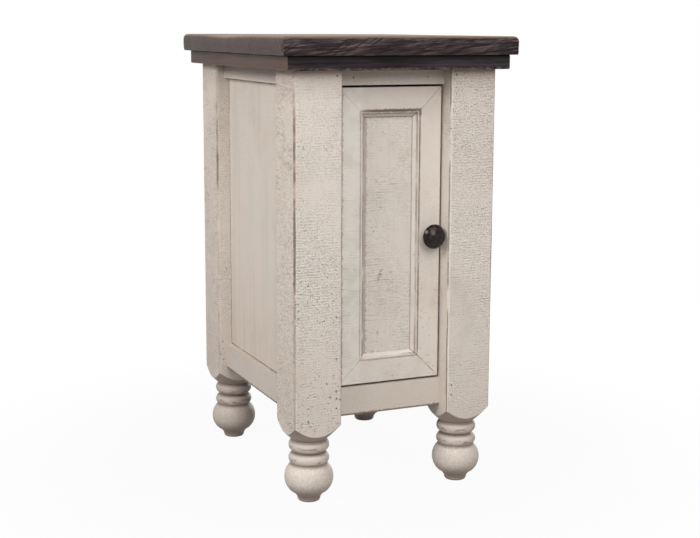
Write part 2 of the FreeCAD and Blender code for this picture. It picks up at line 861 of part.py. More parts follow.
def make_leaf(name, xs, foot, own_first):
    """A leaf whose knuckles take every other place along the barrel."""
    pitch = S.hinge_height / HINGE_KNUCKLES
    play = S.hinge_knuckle_play
    plate = box(f"{name}_plate", xs, (hinge_axis_y, hinge_axis_y + S.hinge_leaf_width),
                (foot, foot + S.hinge_height))
    clear = S.hinge_barrel_radius + S.hinge_barrel_room
    knuckles = []
    notches = []
    for number in range(HINGE_KNUCKLES):
        low = foot + pitch * number
        spot = (hinge_axis_x, hinge_axis_y, low)
        if (number % 2 == 0) == own_first:
            knuckles.append(rod(f"{name}_knuckle_{number}", spot, "up", play / 2, pitch - play / 2,
                                S.hinge_barrel_radius))
        else:
            notches.append(box(f"{name}_notch_{number}", grown(xs, S.cut_overrun),
                               (hinge_axis_y - clear, hinge_axis_y + clear),
                               (low - play / 2, low + pitch + play / 2)))
    notched = cut(f"{name}_notched", plate, group(f"{name}_notches", notches))
    pieces[name] = fuse(f"{name}_blank", [notched] + knuckles)
    drill(rod(f"{name}_bore", (hinge_axis_x, hinge_axis_y, foot), "up", -S.cut_overrun,
              S.hinge_height + S.cut_overrun, S.hinge_pin_radius + S.hinge_pin_fit), [name])


def make_hinges():
    frame_xs = (-inner_x, S.hinge_leaf_thickness - inner_x)
    door_xs = (door_left - S.hinge_leaf_thickness, door_left)
    frame_screws = []
    door_screws = []
    for label, middle in (("upper", door_top - S.hinge_inset), ("lower", door_bottom + S.hinge_inset)):
        foot = middle - S.hinge_height / 2
        frame_leaf = f"{label}_hinge_frame_leaf"
        door_leaf = f"{label}_hinge_door_leaf"
        make_leaf(frame_leaf, frame_xs, foot, True)
        make_leaf(door_leaf, door_xs, foot, False)

        axis = (hinge_axis_x, hinge_axis_y, foot)
        head = S.hinge_pin_head_height
        pieces[f"{label}_hinge_pin"] = fuse(f"{label}_hinge_pin", [
            rod(f"{label}_pin_foot", axis, "up", -head, as_size(0), S.hinge_pin_head_radius),
            rod(f"{label}_pin_shank", axis, "up", as_size(0), S.hinge_height, S.hinge_pin_radius),
            rod(f"{label}_pin_head", axis, "up", S.hinge_height, S.hinge_height + head,
                S.hinge_pin_head_radius),
        ])
        for number, sign in enumerate((-1, 1)):
            z = middle + S.hinge_screw_spread / 2 * sign
            y = hinge_axis_y + S.hinge_screw_back
            sizes = (S.hinge_screw_length, S.hinge_screw_radius,
                     S.hinge_screw_head_radius, S.hinge_screw_head_height)
            frame_screws.append(screw(f"{label}_frame_screw_{number}", (frame_xs[1], y, z), "left", *sizes,
                                      [frame_leaf, "front_left_leg"]))
            door_screws.append(screw(f"{label}_door_screw_{number}", (door_xs[0], y, z), "right", *sizes,
                                     [door_leaf, "door_hinge_stile"]))
    pieces["hinge_frame_screws"] = group("hinge_frame_screws", frame_screws)
    pieces["hinge_door_screws"] = group("hinge_door_screws", door_screws)


# Catch

def make_catch():
    """A magnet in a housing under the shelf, and the plate on the door that it holds."""
    middle_x = inner_x - S.catch_edge_room - S.catch_width / 2
    middle_z = shelf_bottom - S.catch_height / 2
    magnet_front = door_back + S.strike_thickness + S.catch_gap
    front = magnet_front + S.catch_magnet_proud
    half = S.catch_width / 2
    block = half - S.catch_flange_width
    ledge = -S.catch_flange_height
    housing = new_body("catch_housing")
    pad(housing, new_sketch(housing, "XZ_Plane", 0, [
        (-block, -S.catch_height), (block, -S.catch_height), (block, ledge), (half, ledge),
        (half, 0), (-half, 0), (-half, ledge), (-block, ledge),
    ]), S.catch_depth)
    pieces["catch_housing"] = place(housing, middle_x, front + S.catch_depth, shelf_bottom)

    magnet_xs = (middle_x - S.catch_magnet_width / 2, middle_x + S.catch_magnet_width / 2)
    magnet_ys = (magnet_front, magnet_front + S.catch_magnet_depth)
    magnet_zs = (middle_z - S.catch_magnet_height / 2, middle_z + S.catch_magnet_height / 2)
    pieces["catch_magnet"] = box("catch_magnet", magnet_xs, magnet_ys, magnet_zs)
    drill(box("catch_pocket", grown(magnet_xs, S.hole_fit), (magnet_front, magnet_ys[1] + S.hole_fit),
              grown(magnet_zs, S.hole_fit)), ["catch_housing"])

    sizes = (S.catch_screw_length, S.catch_screw_radius, S.catch_screw_head_radius)
    screws = []
    for number, sign in enumerate((-1, 1)):
        spot = (middle_x + (half - S.catch_flange_width / 2) * sign, front + S.catch_depth / 2,
                shelf_bottom + ledge)
        screws.append(screw(f"catch_screw_{number}", spot, "up", *sizes, S.catch_screw_head_height,
                            ["catch_housing", "shelf"]))
    pieces["catch_screws"] = group("catch_screws", screws)

    pieces["strike_plate"] = box(
        "strike_plate",
        (middle_x - S.strike_width / 2, middle_x + S.strike_width / 2),
        (door_back, door_back + S.strike_thickness),
        (middle_z - S.strike_height / 2, middle_z + S.strike_height / 2),
    )
    pieces["strike_screw"] = screw(
        "strike_screw", (middle_x, door_back + S.strike_thickness, middle_z), "front", *sizes,
        S.strike_screw_head_height, ["strike_plate", "door_latch_stile"])


# Nails and screws of the carcass

def make_brads():
    """Nails that pin each tenon in its post, and two through the front rail into the stop."""
    across = inner_x + S.tenon_length / 2
    along_side = inner_y + S.tenon_length / 2
    top_z = post_top - S.brad_top_drop
    cross_z = front_rail_top - S.brad_edge_drop
    side_z = side_rail_top - S.panel_groove_depth - S.brad_edge_drop
    brads = []
    for end, end_label, way in ((FRONT, "front", "back"), (BACK, "back", "front")):
        for side, side_label, inward in ((LEFT, "left", "right"), (RIGHT, "right", "left")):
            leg = f"{end_label}_{side_label}_leg"
            levels = (("top", top_z, top_z), ("bottom", cross_z, side_z),
                      ("bottom", cross_z - S.brad_spacing, side_z - S.brad_spacing))
            for number, (rail, face_level, flank_level) in enumerate(levels):
                spot = (across * side, half_depth * end, face_level)
                brads.append(brad(f"{leg}_face_brad_{number}", spot, way, S.brad_length,
                                  [leg, f"{end_label}_{rail}_rail"]))
                spot = (half_width * side, along_side * end, flank_level)
                brads.append(brad(f"{leg}_flank_brad_{number}", spot, inward, S.brad_length,
                                  [leg, f"{side_label}_{rail}_rail"]))
    rail_middle = top_rail_bottom + S.top_rail_height / 2
    for number, side in enumerate((LEFT, RIGHT)):
        spot = ((inner_x - S.stop_brad_inset) * side, front_rail_face, rail_middle)
        brads.append(brad(f"stop_brad_{number}", spot, "back", S.stop_brad_length,
                          ["front_top_rail", "door_stop"]))
    pieces["rail_brads"] = group("rail_brads", brads)


def make_panel_nails():
    face = back_rail_face + S.back_panel_thickness
    reach = inner_x - S.panel_nail_edge
    pitch = reach * 2 / (PANEL_NAIL_COUNT - 1)
    nails = []
    for rail, level in (("back_bottom_rail", S.front_rail_bottom + S.panel_nail_edge),
                        ("back_top_rail", post_top - S.panel_nail_edge)):
        for number in range(PANEL_NAIL_COUNT):
            nails.append(panel_nail(f"{rail}_nail_{number}", (pitch * number - reach, face, level), "front",
                                    ["back_panel", rail]))
    pieces["back_panel_nails"] = group("back_panel_nails", nails)


def make_wood_screws():
    plank_middle = (half_depth + S.top_overhang) / len(PLANK_NAMES)
    board_edge = half_depth + S.sub_top_overhang - S.sub_top_board_width
    stop_edge = -front_rail_back - S.stop_strip_thickness
    screw_y = (board_edge + stop_edge) / 2
    top_screws = []
    floor_screws = []
    shelf_screws = []
    for end, end_label, inner_plank in ((FRONT, "front", "second"), (BACK, "back", "third")):
        for side, side_label in ((LEFT, "left"), (RIGHT, "right")):
            tag = f"{end_label}_{side_label}"
            spot = (S.top_screw_spread / 2 * side, screw_y * end, post_top)
            top_screws.append(wood_screw(f"{tag}_outer_screw", spot, "up", S.top_screw_length,
                                         [f"{end_label}_sub_top", f"{end_label}_plank"]))
            spot = ((side_rail_inner_x - S.top_screw_edge) * side, plank_middle * end, post_top)
            top_screws.append(wood_screw(f"{tag}_inner_screw", spot, "up", S.top_screw_length,
                                         [f"{side_label}_sub_top", f"{inner_plank}_plank"]))
            y = (inner_y - S.cleat_screw_edge) * end
            spot = ((side_rail_inner_x - S.cleat_side) * side, y, floor_bottom - S.cleat_side / 2)
            floor_screws.append(wood_screw(f"{tag}_floor_screw", spot, side_label, S.floor_screw_length,
                                           [f"{side_label}_floor_cleat", f"{side_label}_bottom_rail"]))
            spot = ((panel_inner_x - S.cleat_side) * side, y, shelf_bottom - S.cleat_side / 2)
            shelf_screws.append(wood_screw(f"{tag}_shelf_screw", spot, side_label, S.shelf_screw_length,
                                           [f"{side_label}_shelf_cleat", f"{side_label}_side_panel"]))
    pieces["top_screws"] = group("top_screws", top_screws)
    pieces["floor_cleat_screws"] = group("floor_cleat_screws", floor_screws)
    pieces["shelf_cleat_screws"] = group("shelf_cleat_screws", shelf_screws)


# Assembly

def drill_pieces():
    """Takes the fastener holes out of each piece and labels the finished one."""
    for name, blank in list(pieces.items()):
        if name in holes:
            blank.Label = f"{name}_blank"
            tool = holes[name][0] if len(holes[name]) == 1 else group(f"{name}_holes", holes[name])
            pieces[name] = cut(f"{name}_drilled", blank, tool)
        pieces[name].Label = name


def check_document():
    failed = [item.Label for item in doc.Objects if {"Invalid", "Error"} & set(item.State)]
    failed += [name for name, item in pieces.items() if item.Shape.isNull() or not item.Shape.isValid()]
    if failed:
        raise RuntimeError(f"failed objects: {failed}")


def write_parts():
    os.makedirs("parts", exist_ok=True)
    for name, item in pieces.items():
        item.Shape.exportStep(os.path.join("parts", f"{name}.step"))


for end_side, end_name in ((FRONT, "front"), (BACK, "back")):
    for wing_side, wing_name in ((LEFT, "left"), (RIGHT, "right")):
        make_leg(f"{end_name}_{wing_name}_leg", wing_side, end_side)
make_cross_rails("front", FRONT_RAIL_FACES)
make_cross_rails("back", BACK_RAIL_FACES)
for wing_side, wing_name in ((LEFT, "left"), (RIGHT, "right")):
    make_side_rails(wing_name, wing_side)
    make_side_panel(f"{wing_name}_side_panel", wing_side)
make_back_panel()
make_inside()
make_sub_top()
make_top()
make_door()
make_knob()
make_hinges()
make_catch()
make_brads()
make_panel_nails()
make_wood_screws()
drill_pieces()
doc.recompute()
check_document()
write_parts()
print(f"{len(pieces)} pieces written")
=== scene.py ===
"""Looks of a painted side table with a door: worn cream paint, a dark plank top and bronze hardware."""

import math

import bmesh
import bpy
from bpy.props import FloatProperty, FloatVectorProperty, PointerProperty
from mathutils import Matrix, Vector, noise


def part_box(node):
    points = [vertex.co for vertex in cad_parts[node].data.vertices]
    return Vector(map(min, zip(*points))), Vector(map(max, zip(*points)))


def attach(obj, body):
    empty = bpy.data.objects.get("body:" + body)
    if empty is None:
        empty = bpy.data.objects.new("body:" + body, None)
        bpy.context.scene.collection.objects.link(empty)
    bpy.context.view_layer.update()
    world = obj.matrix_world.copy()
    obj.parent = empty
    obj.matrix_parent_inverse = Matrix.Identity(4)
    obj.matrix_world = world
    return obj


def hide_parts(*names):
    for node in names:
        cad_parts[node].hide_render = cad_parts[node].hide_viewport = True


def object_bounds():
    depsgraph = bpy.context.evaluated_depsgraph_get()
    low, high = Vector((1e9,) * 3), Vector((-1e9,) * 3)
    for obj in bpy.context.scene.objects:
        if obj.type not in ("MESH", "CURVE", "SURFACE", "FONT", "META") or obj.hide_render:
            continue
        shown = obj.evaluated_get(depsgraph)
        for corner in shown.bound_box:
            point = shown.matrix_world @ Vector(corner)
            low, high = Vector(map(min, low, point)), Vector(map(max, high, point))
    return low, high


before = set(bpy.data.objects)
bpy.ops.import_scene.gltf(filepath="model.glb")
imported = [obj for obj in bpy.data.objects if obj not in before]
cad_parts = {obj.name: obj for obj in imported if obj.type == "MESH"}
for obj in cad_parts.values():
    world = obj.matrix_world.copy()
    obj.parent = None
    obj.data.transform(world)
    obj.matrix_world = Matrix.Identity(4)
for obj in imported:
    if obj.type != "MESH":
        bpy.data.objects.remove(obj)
CAD_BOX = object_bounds()

bl_info = {
    "name": "Painted Side Table",
    "version": (1, 0, 0),
    "blender": (4, 5, 0),
    "location": "View3D > Sidebar > Side Table",
    "description": "Finishes a painted side table with a door around its fixed frame",
    "category": "Object",
}

# Nodes of the frame, by the finish that they get
LEGS = ("front_left_leg", "front_right_leg", "back_left_leg", "back_right_leg")
CROSS_RAILS = ("front_top_rail", "front_bottom_rail", "back_top_rail", "back_bottom_rail")
SIDE_RAILS = ("left_top_rail", "left_bottom_rail", "right_top_rail", "right_bottom_rail")
SIDE_PANELS = ("left_side_panel", "right_side_panel")
DOOR_FRAME = ("door_bottom_rail", "door_latch_stile", "door_top_rail", "door_hinge_stile")
PLANKS = ("front_plank", "second_plank", "third_plank", "back_plank")
MOULDINGS = ("front_sub_top", "right_sub_top", "back_sub_top", "left_sub_top")
INSIDE = (
    "shelf", "floor_panel", "back_panel",
    "left_floor_cleat", "right_floor_cleat", "left_shelf_cleat", "right_shelf_cleat",
)
HINGES = (
    "upper_hinge_frame_leaf", "lower_hinge_frame_leaf", "upper_hinge_door_leaf",
    "lower_hinge_door_leaf", "upper_hinge_pin", "lower_hinge_pin",
)
NAILS = ("rail_brads", "back_panel_nails")
SCREWS = (
    "hinge_frame_screws", "hinge_door_screws", "catch_screws", "strike_screw", "knob_screw",
    "top_screws", "floor_cleat_screws", "shelf_cleat_screws",
)
BRIGHT_STEEL = ("catch_magnet", "strike_plate")

# Places that the finishes follow, from the frame
LEG_LOW, LEG_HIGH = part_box("front_right_leg")
LEG_CENTRE = [abs(share) for share in (LEG_LOW + LEG_HIGH) / 2]
POST_HALF = (LEG_HIGH.x - LEG_LOW.x) / 2
DOOR_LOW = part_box("door_hinge_stile")[0]
DOOR_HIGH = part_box("door_latch_stile")[1]
DOOR_MEMBER = Vector((0.0405, 0.0, 0.0405))
OPENING_LOW = DOOR_LOW + DOOR_MEMBER
OPENING_HIGH = DOOR_HIGH - DOOR_MEMBER
UNDER_TOP = LEG_HIGH.z
POST_INNER_Y = LEG_CENTRE[1] - POST_HALF
PANEL_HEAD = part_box("left_top_rail")[0].z
PANEL_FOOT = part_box("left_bottom_rail")[1].z
FRONT_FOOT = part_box("front_bottom_rail")[0].z
SIDE_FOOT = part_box("left_bottom_rail")[0].z
MOULDING_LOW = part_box("front_sub_top")[0]
TOP_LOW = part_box("front_plank")[0]
TOP_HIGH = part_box("back_plank")[1]

# Ways across which the saw left its rows
SAWN = (0.0, 0.5, 1.0)
LEVEL = (0.0, 0.0, 1.0)

# Heights on the turned feet, distances from the door's outer edge, and single marks, in metres
FOOT_BASE = (0.032, 0.010)
BULB = (0.022, 0.05)
BEADS = (0.056, 0.086)
TURNED_GROOVES = (0.0538, 0.0702, 0.0876)
TURNED_CRESTS = (0.0605, 0.0775)
SHOULDER = (0.087, 0.118)
POST_START = (0.098, 0.106)
QUIRK_INSET = 0.0324
BEVEL_INSET = 0.0360
PITTED_SPOTS = ((-0.118, LEG_LOW.y, 0.29), (-0.09, LEG_LOW.y, 0.15), (0.140, LEG_LOW.y, 0.548))
KNOT_PLACE = (0.010, 0.0, -0.308)
KNOT_HALF = (0.003, 0.010)

# How the planks are cut and hewn, in metres
JOIN_DISTANCE = 0.00001
CUT_DISTANCE = 0.000001
FLAT_ANGLE = math.radians(0.5)
EDGE_REACH = 0.016
DIP_CENTRE = 0.03
DIP_REACH = (0.05, 0.13)

# Colours of small pieces, as shown
# The door stop's brown, mixed with the gap colour as painted shade
STOP_BROWN = (0.2, 0.17, 0.15)
BRONZE = ((0.085, 0.066, 0.062), (0.20, 0.155, 0.14))
NAIL_GREY = (0.09, 0.075, 0.07)
SCREW_GREY = (0.62, 0.60, 0.57)
BRIGHT_GREY = (0.74, 0.73, 0.71)
CATCH_BROWN = ((0.24, 0.18, 0.14), (0.30, 0.23, 0.18))

# The stage: linear colours, half the floor's side, and the lamps' names, places and sizes by setting
FLOOR_GREY = (0.34, 0.335, 0.33, 1.0)
WHITE = (1.0, 1.0, 1.0, 1.0)
FLOOR_HALF = 6.0
LAMPS = {
    "key": ("key", (-0.3, -2.25, 1.75), 1.5),
    "side": ("side", (-2.15, -0.75, 1.75), 1.0),
    "over": ("overhead", (0.1, -0.9, 2.5), 2.0),
    "rear": ("rear", (1.7, 1.6, 0.36), 0.5),
}

# What every colour setting has besides its name, description and default
COLOUR = {"subtype": "COLOR_GAMMA", "size": 3, "min": 0.0, "max": 1.0}


class PaintSettings(bpy.types.PropertyGroup):
    """Colours of the worn paint."""

    cream: FloatVectorProperty(
        name="Cream", description="Paint where it is clean",
        default=(0.835, 0.795, 0.755), **COLOUR)
    cool: FloatVectorProperty(
        name="Cool", description="Paint where it has gone slightly green",
        default=(0.815, 0.80, 0.755), **COLOUR)
    # Painted light: a pinkish tint laid on the side faces for the warmer light that falls on them
    warm_side_light: FloatVectorProperty(
        name="Warm", description="Paint on the sides, slightly pink",
        default=(0.875, 0.81, 0.755), **COLOUR)
    # Also laid as painted shade: towards the floor, low on the side faces, and on the door's top rail under
    # the top
    dull: FloatVectorProperty(
        name="Dull", description="Paint where it is dirty",
        default=(0.775, 0.725, 0.68), **COLOUR)
    # Also laid as a painted highlight along the posts' rounded corners, and as painted light on the hinge
    # stile
    pale: FloatVectorProperty(
        name="Pale", description="Raised flecks of fresh paint",
        default=(0.91, 0.885, 0.85), **COLOUR)
    glaze: FloatVectorProperty(
        name="Glaze", description="Dark glaze left in grooves and joints",
        default=(0.37, 0.295, 0.255), **COLOUR)
    # Painted shade: mauve laid under the top, under the shoulders, at the feet's base and on the right and
    # back feet; it also tints crackle and beads as glaze
    shade: FloatVectorProperty(
        name="Shade", description="Mauve glaze under shoulders and feet",
        default=(0.52, 0.43, 0.40), **COLOUR)
    bare: FloatVectorProperty(
        name="Bare wood", description="Wood that shows on worn corners",
        default=(0.62, 0.50, 0.42), **COLOUR)
    # Painted shade: near-black laid on the door's outer edges and mixed into the door stop, so the gaps
    # round the door read dark
    gap: FloatVectorProperty(
        name="Gap", description="Dark stain on edges that face a gap",
        default=(0.12, 0.10, 0.09), **COLOUR)


class StainSettings(bpy.types.PropertyGroup):
    """Colours and shape of the dark plank top."""

    dark: FloatVectorProperty(
        name="Dark", description="Stain in the late wood",
        default=(0.085, 0.06, 0.072), **COLOUR)
    light: FloatVectorProperty(
        name="Light", description="Stain in the early wood",
        default=(0.21, 0.165, 0.175), **COLOUR)
    worn: FloatVectorProperty(
        name="Worn", description="Wood rubbed paler along edges and on the top",
        default=(0.50, 0.40, 0.295), **COLOUR)
    wisp: FloatVectorProperty(
        name="Wisp", description="Paler wisps along the planks' edges",
        default=(0.44, 0.375, 0.365), **COLOUR)
    end: FloatVectorProperty(
        name="End", description="Sawn ends of the planks",
        default=(0.28, 0.212, 0.185), **COLOUR)
    # Painted sheen: the moulding's side faces brown and lighter than its front, for the light they catch
    # from the left
    side: FloatVectorProperty(
        name="Side", description="Brown sides of the moulding",
        default=(0.375, 0.275, 0.225), **COLOUR)
    grey: FloatVectorProperty(
        name="Grey", description="Moulding where it is rubbed",
        default=(0.30, 0.265, 0.29), **COLOUR)
    lean: FloatProperty(
        name="Lean", description="How far the planks' hearts lean from their length", subtype="ANGLE",
        default=0.09)
    cut_slope: FloatProperty(
        name="Cut slope", description="Slope of the hewing cuts across the edges", subtype="ANGLE",
        default=0.5)
    hew: FloatProperty(
        name="Hewing", description="How far the hewn edges wander", unit="LENGTH",
        min=0, default=0.0010)
    dip: FloatProperty(
        name="Dip", description="How far the left end sinks at its middle", unit="LENGTH",
        min=0, default=0.0022)
    slice: FloatProperty(
        name="Slice", description="Spacing of the cuts that the hewing follows", unit="LENGTH",
        min=0.001, default=0.004)


class StageSettings(bpy.types.PropertyGroup):
    """Camera and light."""

    camera: FloatVectorProperty(
        name="Camera", description="Where the camera stands", subtype="XYZ", unit="LENGTH",
        size=3, default=(-0.7735, -1.7970, 0.6468))
    yaw: FloatProperty(
        name="Yaw", description="Turn of the camera to the right", subtype="ANGLE", default=0.4143)
    pitch: FloatProperty(
        name="Pitch", description="Tilt of the camera downwards", subtype="ANGLE", default=0.1599)
    roll: FloatProperty(
        name="Roll", description="Turn of the camera about its view", subtype="ANGLE", default=0.0043)
    lens: FloatProperty(
        name="Lens", description="Focal length", subtype="DISTANCE_CAMERA", min=1, default=68.34)
    rise: FloatProperty(
        name="Lens shift", description="Upright shift of the picture", default=-0.04)
    ambient: FloatProperty(
        name="Ambient", description="Light from all round", min=0, default=0.36)
    key: FloatProperty(
        name="Key", description="Power of the lamp in front", subtype="POWER", min=0, default=34)
    side: FloatProperty(
        name="Side", description="Power of the lamp at the left", subtype="POWER", min=0, default=37)
    over: FloatProperty(
        name="Overhead", description="Power of the overhead lamp", subtype="POWER", min=0, default=18)
    rear: FloatProperty(
        name="Rear", description="Power of the low lamp behind, at the right", subtype="POWER",
        min=0, default=20)


# Shader graphs

def linear(colour):
    """A display colour as the linear colour with alpha that sockets hold."""
    share = [c / 12.92 if c <= 0.04045 else ((c + 0.055) / 1.055) ** 2.4 for c in colour]
    return (*share, 1.0)


class Graph:
    """Places nodes in one tree and joins them."""

    def __init__(self, tree):
        self.tree = tree

    def feed(self, socket, value):
        if isinstance(value, bpy.types.NodeSocket):
            self.tree.links.new(value, socket)
        else:
            socket.default_value = value

    def add(self, kind, inputs=None, **settings):
        node = self.tree.nodes.new(f"ShaderNode{kind}")
        for name, value in settings.items():
            setattr(node, name, value)
        for key, value in (inputs or {}).items():
            self.feed(node.inputs[key], value)
        return node

    def math(self, operation, *values, clamp=False):
        node = self.add("Math", dict(enumerate(values)), operation=operation, use_clamp=clamp)
        return node.outputs[0]

    def product(self, *values):
        result = values[0]
        for value in values[1:]:
            result = self.math("MULTIPLY", result, value)
        return result

    def scale_add(self, value, scale, extra):
        return self.math("MULTIPLY_ADD", value, scale, extra)

    def minus(self, value, taken):
        return self.math("SUBTRACT", value, taken)

    def rest(self, value):
        """What is left of 1 once a share is taken."""
        return self.minus(1.0, value)

    def size(self, value):
        return self.math("ABSOLUTE", value)

    def offset(self, value, centre):
        """How far a value lies from a centre, whichever way."""
        return self.size(self.minus(value, centre))

    def along(self, vector, way):
        """How far a place lies along a way."""
        return self.add("VectorMath", {0: vector, 1: way}, operation="DOT_PRODUCT").outputs["Value"]

    def scaled(self, vector, scale):
        node = self.add("VectorMath", {0: vector, 1: scale}, operation="MULTIPLY")
        return node.outputs[0]

    def moved(self, vector, offset):
        node = self.add("VectorMath", {0: vector, 1: offset}, operation="ADD")
        return node.outputs[0]

    def split(self, vector):
        return self.add("SeparateXYZ", {0: vector}).outputs

    def step(self, value, low, high):
        """Rises smoothly from 0 at low to 1 at high, and falls where high is the lower one."""
        lowest, highest = (low, high) if low < high else (high, low)
        start, end = (0.0, 1.0) if low < high else (1.0, 0.0)
        node = self.add("MapRange", {0: value, 1: lowest, 2: highest, 3: start, 4: end},
                        interpolation_type="SMOOTHSTEP")
        return node.outputs[0]

    def band(self, value, low, high, fade):
        """1 between low and high, fading out over the given distance on both sides."""
        return self.product(self.step(value, low - fade, low), self.step(value, high + fade, high))

    def mix(self, factor, first, second):
        node = self.add("Mix", {0: factor, 6: first, 7: second}, data_type="RGBA")
        return node.outputs[2]

    def noise(self, vector, scale, detail=2.0, roughness=0.5):
        node = self.add("TexNoise", {
            "Vector": vector, "Scale": scale, "Detail": detail, "Roughness": roughness})
        return node.outputs["Fac"]

    def place(self):
        return self.add("TexCoord").outputs["Object"]

    def normal(self):
        return self.add("NewGeometry").outputs["Normal"]

    def group(self, tree, inputs):
        node = self.add("Group", node_tree=tree)
        for name, value in inputs.items():
            self.feed(node.inputs[name], value)
        return node.outputs


def new_group(name, inputs, outputs, build):
    """A shader node group, made once, whose build function joins its sockets."""
    if name in bpy.data.node_groups:
        return bpy.data.node_groups[name]
    tree = bpy.data.node_groups.new(name, "ShaderNodeTree")
    for label, kind in inputs:
        tree.interface.new_socket(label, in_out="INPUT", socket_type=f"NodeSocket{kind}")
    for label, kind in outputs:
        tree.interface.new_socket(label, in_out="OUTPUT", socket_type=f"NodeSocket{kind}")
    graph = Graph(tree)
    start = tree.nodes.new("NodeGroupInput").outputs
    end = tree.nodes.new("NodeGroupOutput").inputs
    for label, socket in build(graph, start).items():
        graph.feed(end[label], socket)
    return tree


def paint_tone():
    """Broad patches where the paint is cleaner, cooler or dirtier."""
    def build(graph, start):
        place = start["Vector"]
        cool = graph.step(graph.noise(place, 11.0, 2.0), 0.55, 0.74)
        dull = graph.step(graph.noise(graph.moved(place, (3.1, 1.7, 5.3)), 13.0, 3.0, 0.6), 0.5, 0.85)
        colour = graph.mix(graph.product(cool, 0.7), start["Cream"], start["Cool"])
        return {"Color": graph.mix(dull, colour, start["Dull"])}
    return new_group(
        "paint_tone", [("Vector", "Vector"), ("Cream", "Color"), ("Cool", "Color"), ("Dull", "Color")],
        [("Color", "Color")], build)


def saw_rows():
    """Short dashes in even rows that a saw left across the grain, gathered in patches."""
    def build(graph, start):
        place = start["Vector"]
        drift = graph.noise(place, 16.0, 2.0)
        across = graph.along(place, start["Way"])
        phase = graph.scale_add(across, start["Rows"], graph.product(drift, 9.0))
        rows = graph.step(graph.math("SINE", phase), -0.2, 0.9)
        dashes = graph.step(graph.noise(graph.scaled(place, start["Dashes"]), 1.0, 2.0, 0.55), 0.46, 0.66)
        patch = graph.noise(graph.moved(place, (7.3, 2.1, 4.7)), start["Patches"], 2.0, 0.6)
        return {"Mask": graph.product(rows, dashes, graph.step(patch, 0.36, 0.6))}
    return new_group(
        "saw_rows",
        [("Vector", "Vector"), ("Way", "Vector"), ("Rows", "Float"), ("Dashes", "Vector"),
         ("Patches", "Float")],
        [("Mask", "Float")], build)


def stipple():
    """A fine broken skin in rows: small hollows that hold glaze, and raised flecks between them."""
    def build(graph, start):
        place = start["Vector"]
        dots = graph.noise(graph.scaled(place, start["Fineness"]), 1.0, 1.0, 0.6)
        across = graph.along(place, start["Way"])
        drift = graph.product(graph.noise(place, 30.0, 2.0), 14.0)
        rows = graph.math("SINE", graph.scale_add(across, start["Rows"], drift))
        skin = graph.scale_add(rows, 0.05, dots)
        patch = graph.noise(graph.moved(place, (2.7, 8.3, 1.1)), start["Patches"], 2.0, 0.6)
        patch = graph.step(graph.math("ADD", patch, start["Amount"]), 0.22, 0.6)
        patch = graph.product(patch, graph.scale_add(start["Amount"], 2.0, 1.0))
        hollows = graph.product(graph.step(skin, 0.52, 0.66), patch)
        flecks = graph.product(graph.step(skin, 0.47, 0.34), patch)
        return {"Hollows": hollows, "Flecks": flecks}
    return new_group(
        "stipple",
        [("Vector", "Vector"), ("Fineness", "Vector"), ("Way", "Vector"), ("Rows", "Float"),
         ("Patches", "Float"), ("Amount", "Float")],
        [("Hollows", "Float"), ("Flecks", "Float")], build)


def pits():
    """Small dark pits, gathered in clusters."""
    def build(graph, start):
        place = start["Vector"]
        wobble = graph.add("TexNoise", {"Vector": place, "Scale": 500.0}).outputs["Color"]
        wobble = graph.scaled(graph.moved(wobble, (-0.5, -0.5, -0.5)), (0.0022, 0.0022, 0.0022))
        cells = graph.add("TexVoronoi", {"Vector": graph.moved(place, wobble), "Scale": start["Cells"]})
        chosen, size, _ = graph.split(cells.outputs["Color"])
        reach = graph.scale_add(size, 0.25, 0.16)
        spot = graph.step(graph.math("DIVIDE", cells.outputs["Distance"], reach), 1.0, 0.5)
        kept = graph.math("LESS_THAN", chosen, start["Share"])
        cluster = graph.noise(graph.moved(place, (1.9, 6.1, 2.7)), start["Clusters"], 2.0, 0.6)
        cluster = graph.step(graph.math("ADD", cluster, start["Amount"]), 0.5, 0.64)
        return {"Mask": graph.product(spot, kept, cluster)}
    return new_group(
        "pits",
        [("Vector", "Vector"), ("Cells", "Float"), ("Share", "Float"), ("Clusters", "Float"),
         ("Amount", "Float")],
        [("Mask", "Float")], build)


def broken_line():
    """A line of glaze along a joint, fading in and out along its way."""
    def build(graph, start):
        near = graph.math("DIVIDE", graph.size(start["Distance"]), start["Width"])
        near = graph.scale_add(graph.noise(start["Vector"], 260.0, 2.0, 0.6), 1.2, near)
        gaps = graph.noise(start["Vector"], start["Breaks"], 3.0, 0.65)
        gaps = graph.step(graph.math("ADD", gaps, start["Amount"]), 0.36, 0.6)
        return {"Mask": graph.product(graph.step(near, 1.5, 1.1), gaps)}
    return new_group(
        "broken_line",
        [("Vector", "Vector"), ("Distance", "Float"), ("Width", "Float"), ("Breaks", "Float"),
         ("Amount", "Float")],
        [("Mask", "Float")], build)


def ring_grain():
    """Growth rings about a heart that lies along X, with fine fibres along it."""
    def build(graph, start):
        place = start["Vector"]
        drift = graph.noise(graph.scaled(place, (6.0, 26.0, 26.0)), 1.0, 3.0, 0.55)
        _, y, z = graph.split(place)
        squares = graph.math("ADD", graph.math("POWER", y, 2.0), graph.math("POWER", z, 2.0))
        radius = graph.math("SQRT", squares)
        rings = graph.scale_add(radius, start["Rings"], graph.product(drift, 5.0))
        late = graph.step(graph.math("PINGPONG", rings, 1.0), 0.25, 0.9)
        fibres = graph.noise(graph.scaled(place, (16.0, 380.0, 380.0)), 1.0, 3.0, 0.6)
        return {"Rings": late, "Fibres": fibres}
    return new_group(
        "ring_grain", [("Vector", "Vector"), ("Rings", "Float")],
        [("Rings", "Float"), ("Fibres", "Float")], build)


def empty_graph(owner):
    """The graph of a material or world, cleared of its first nodes."""
    owner.use_nodes = True
    owner.node_tree.nodes.clear()
    return Graph(owner.node_tree)


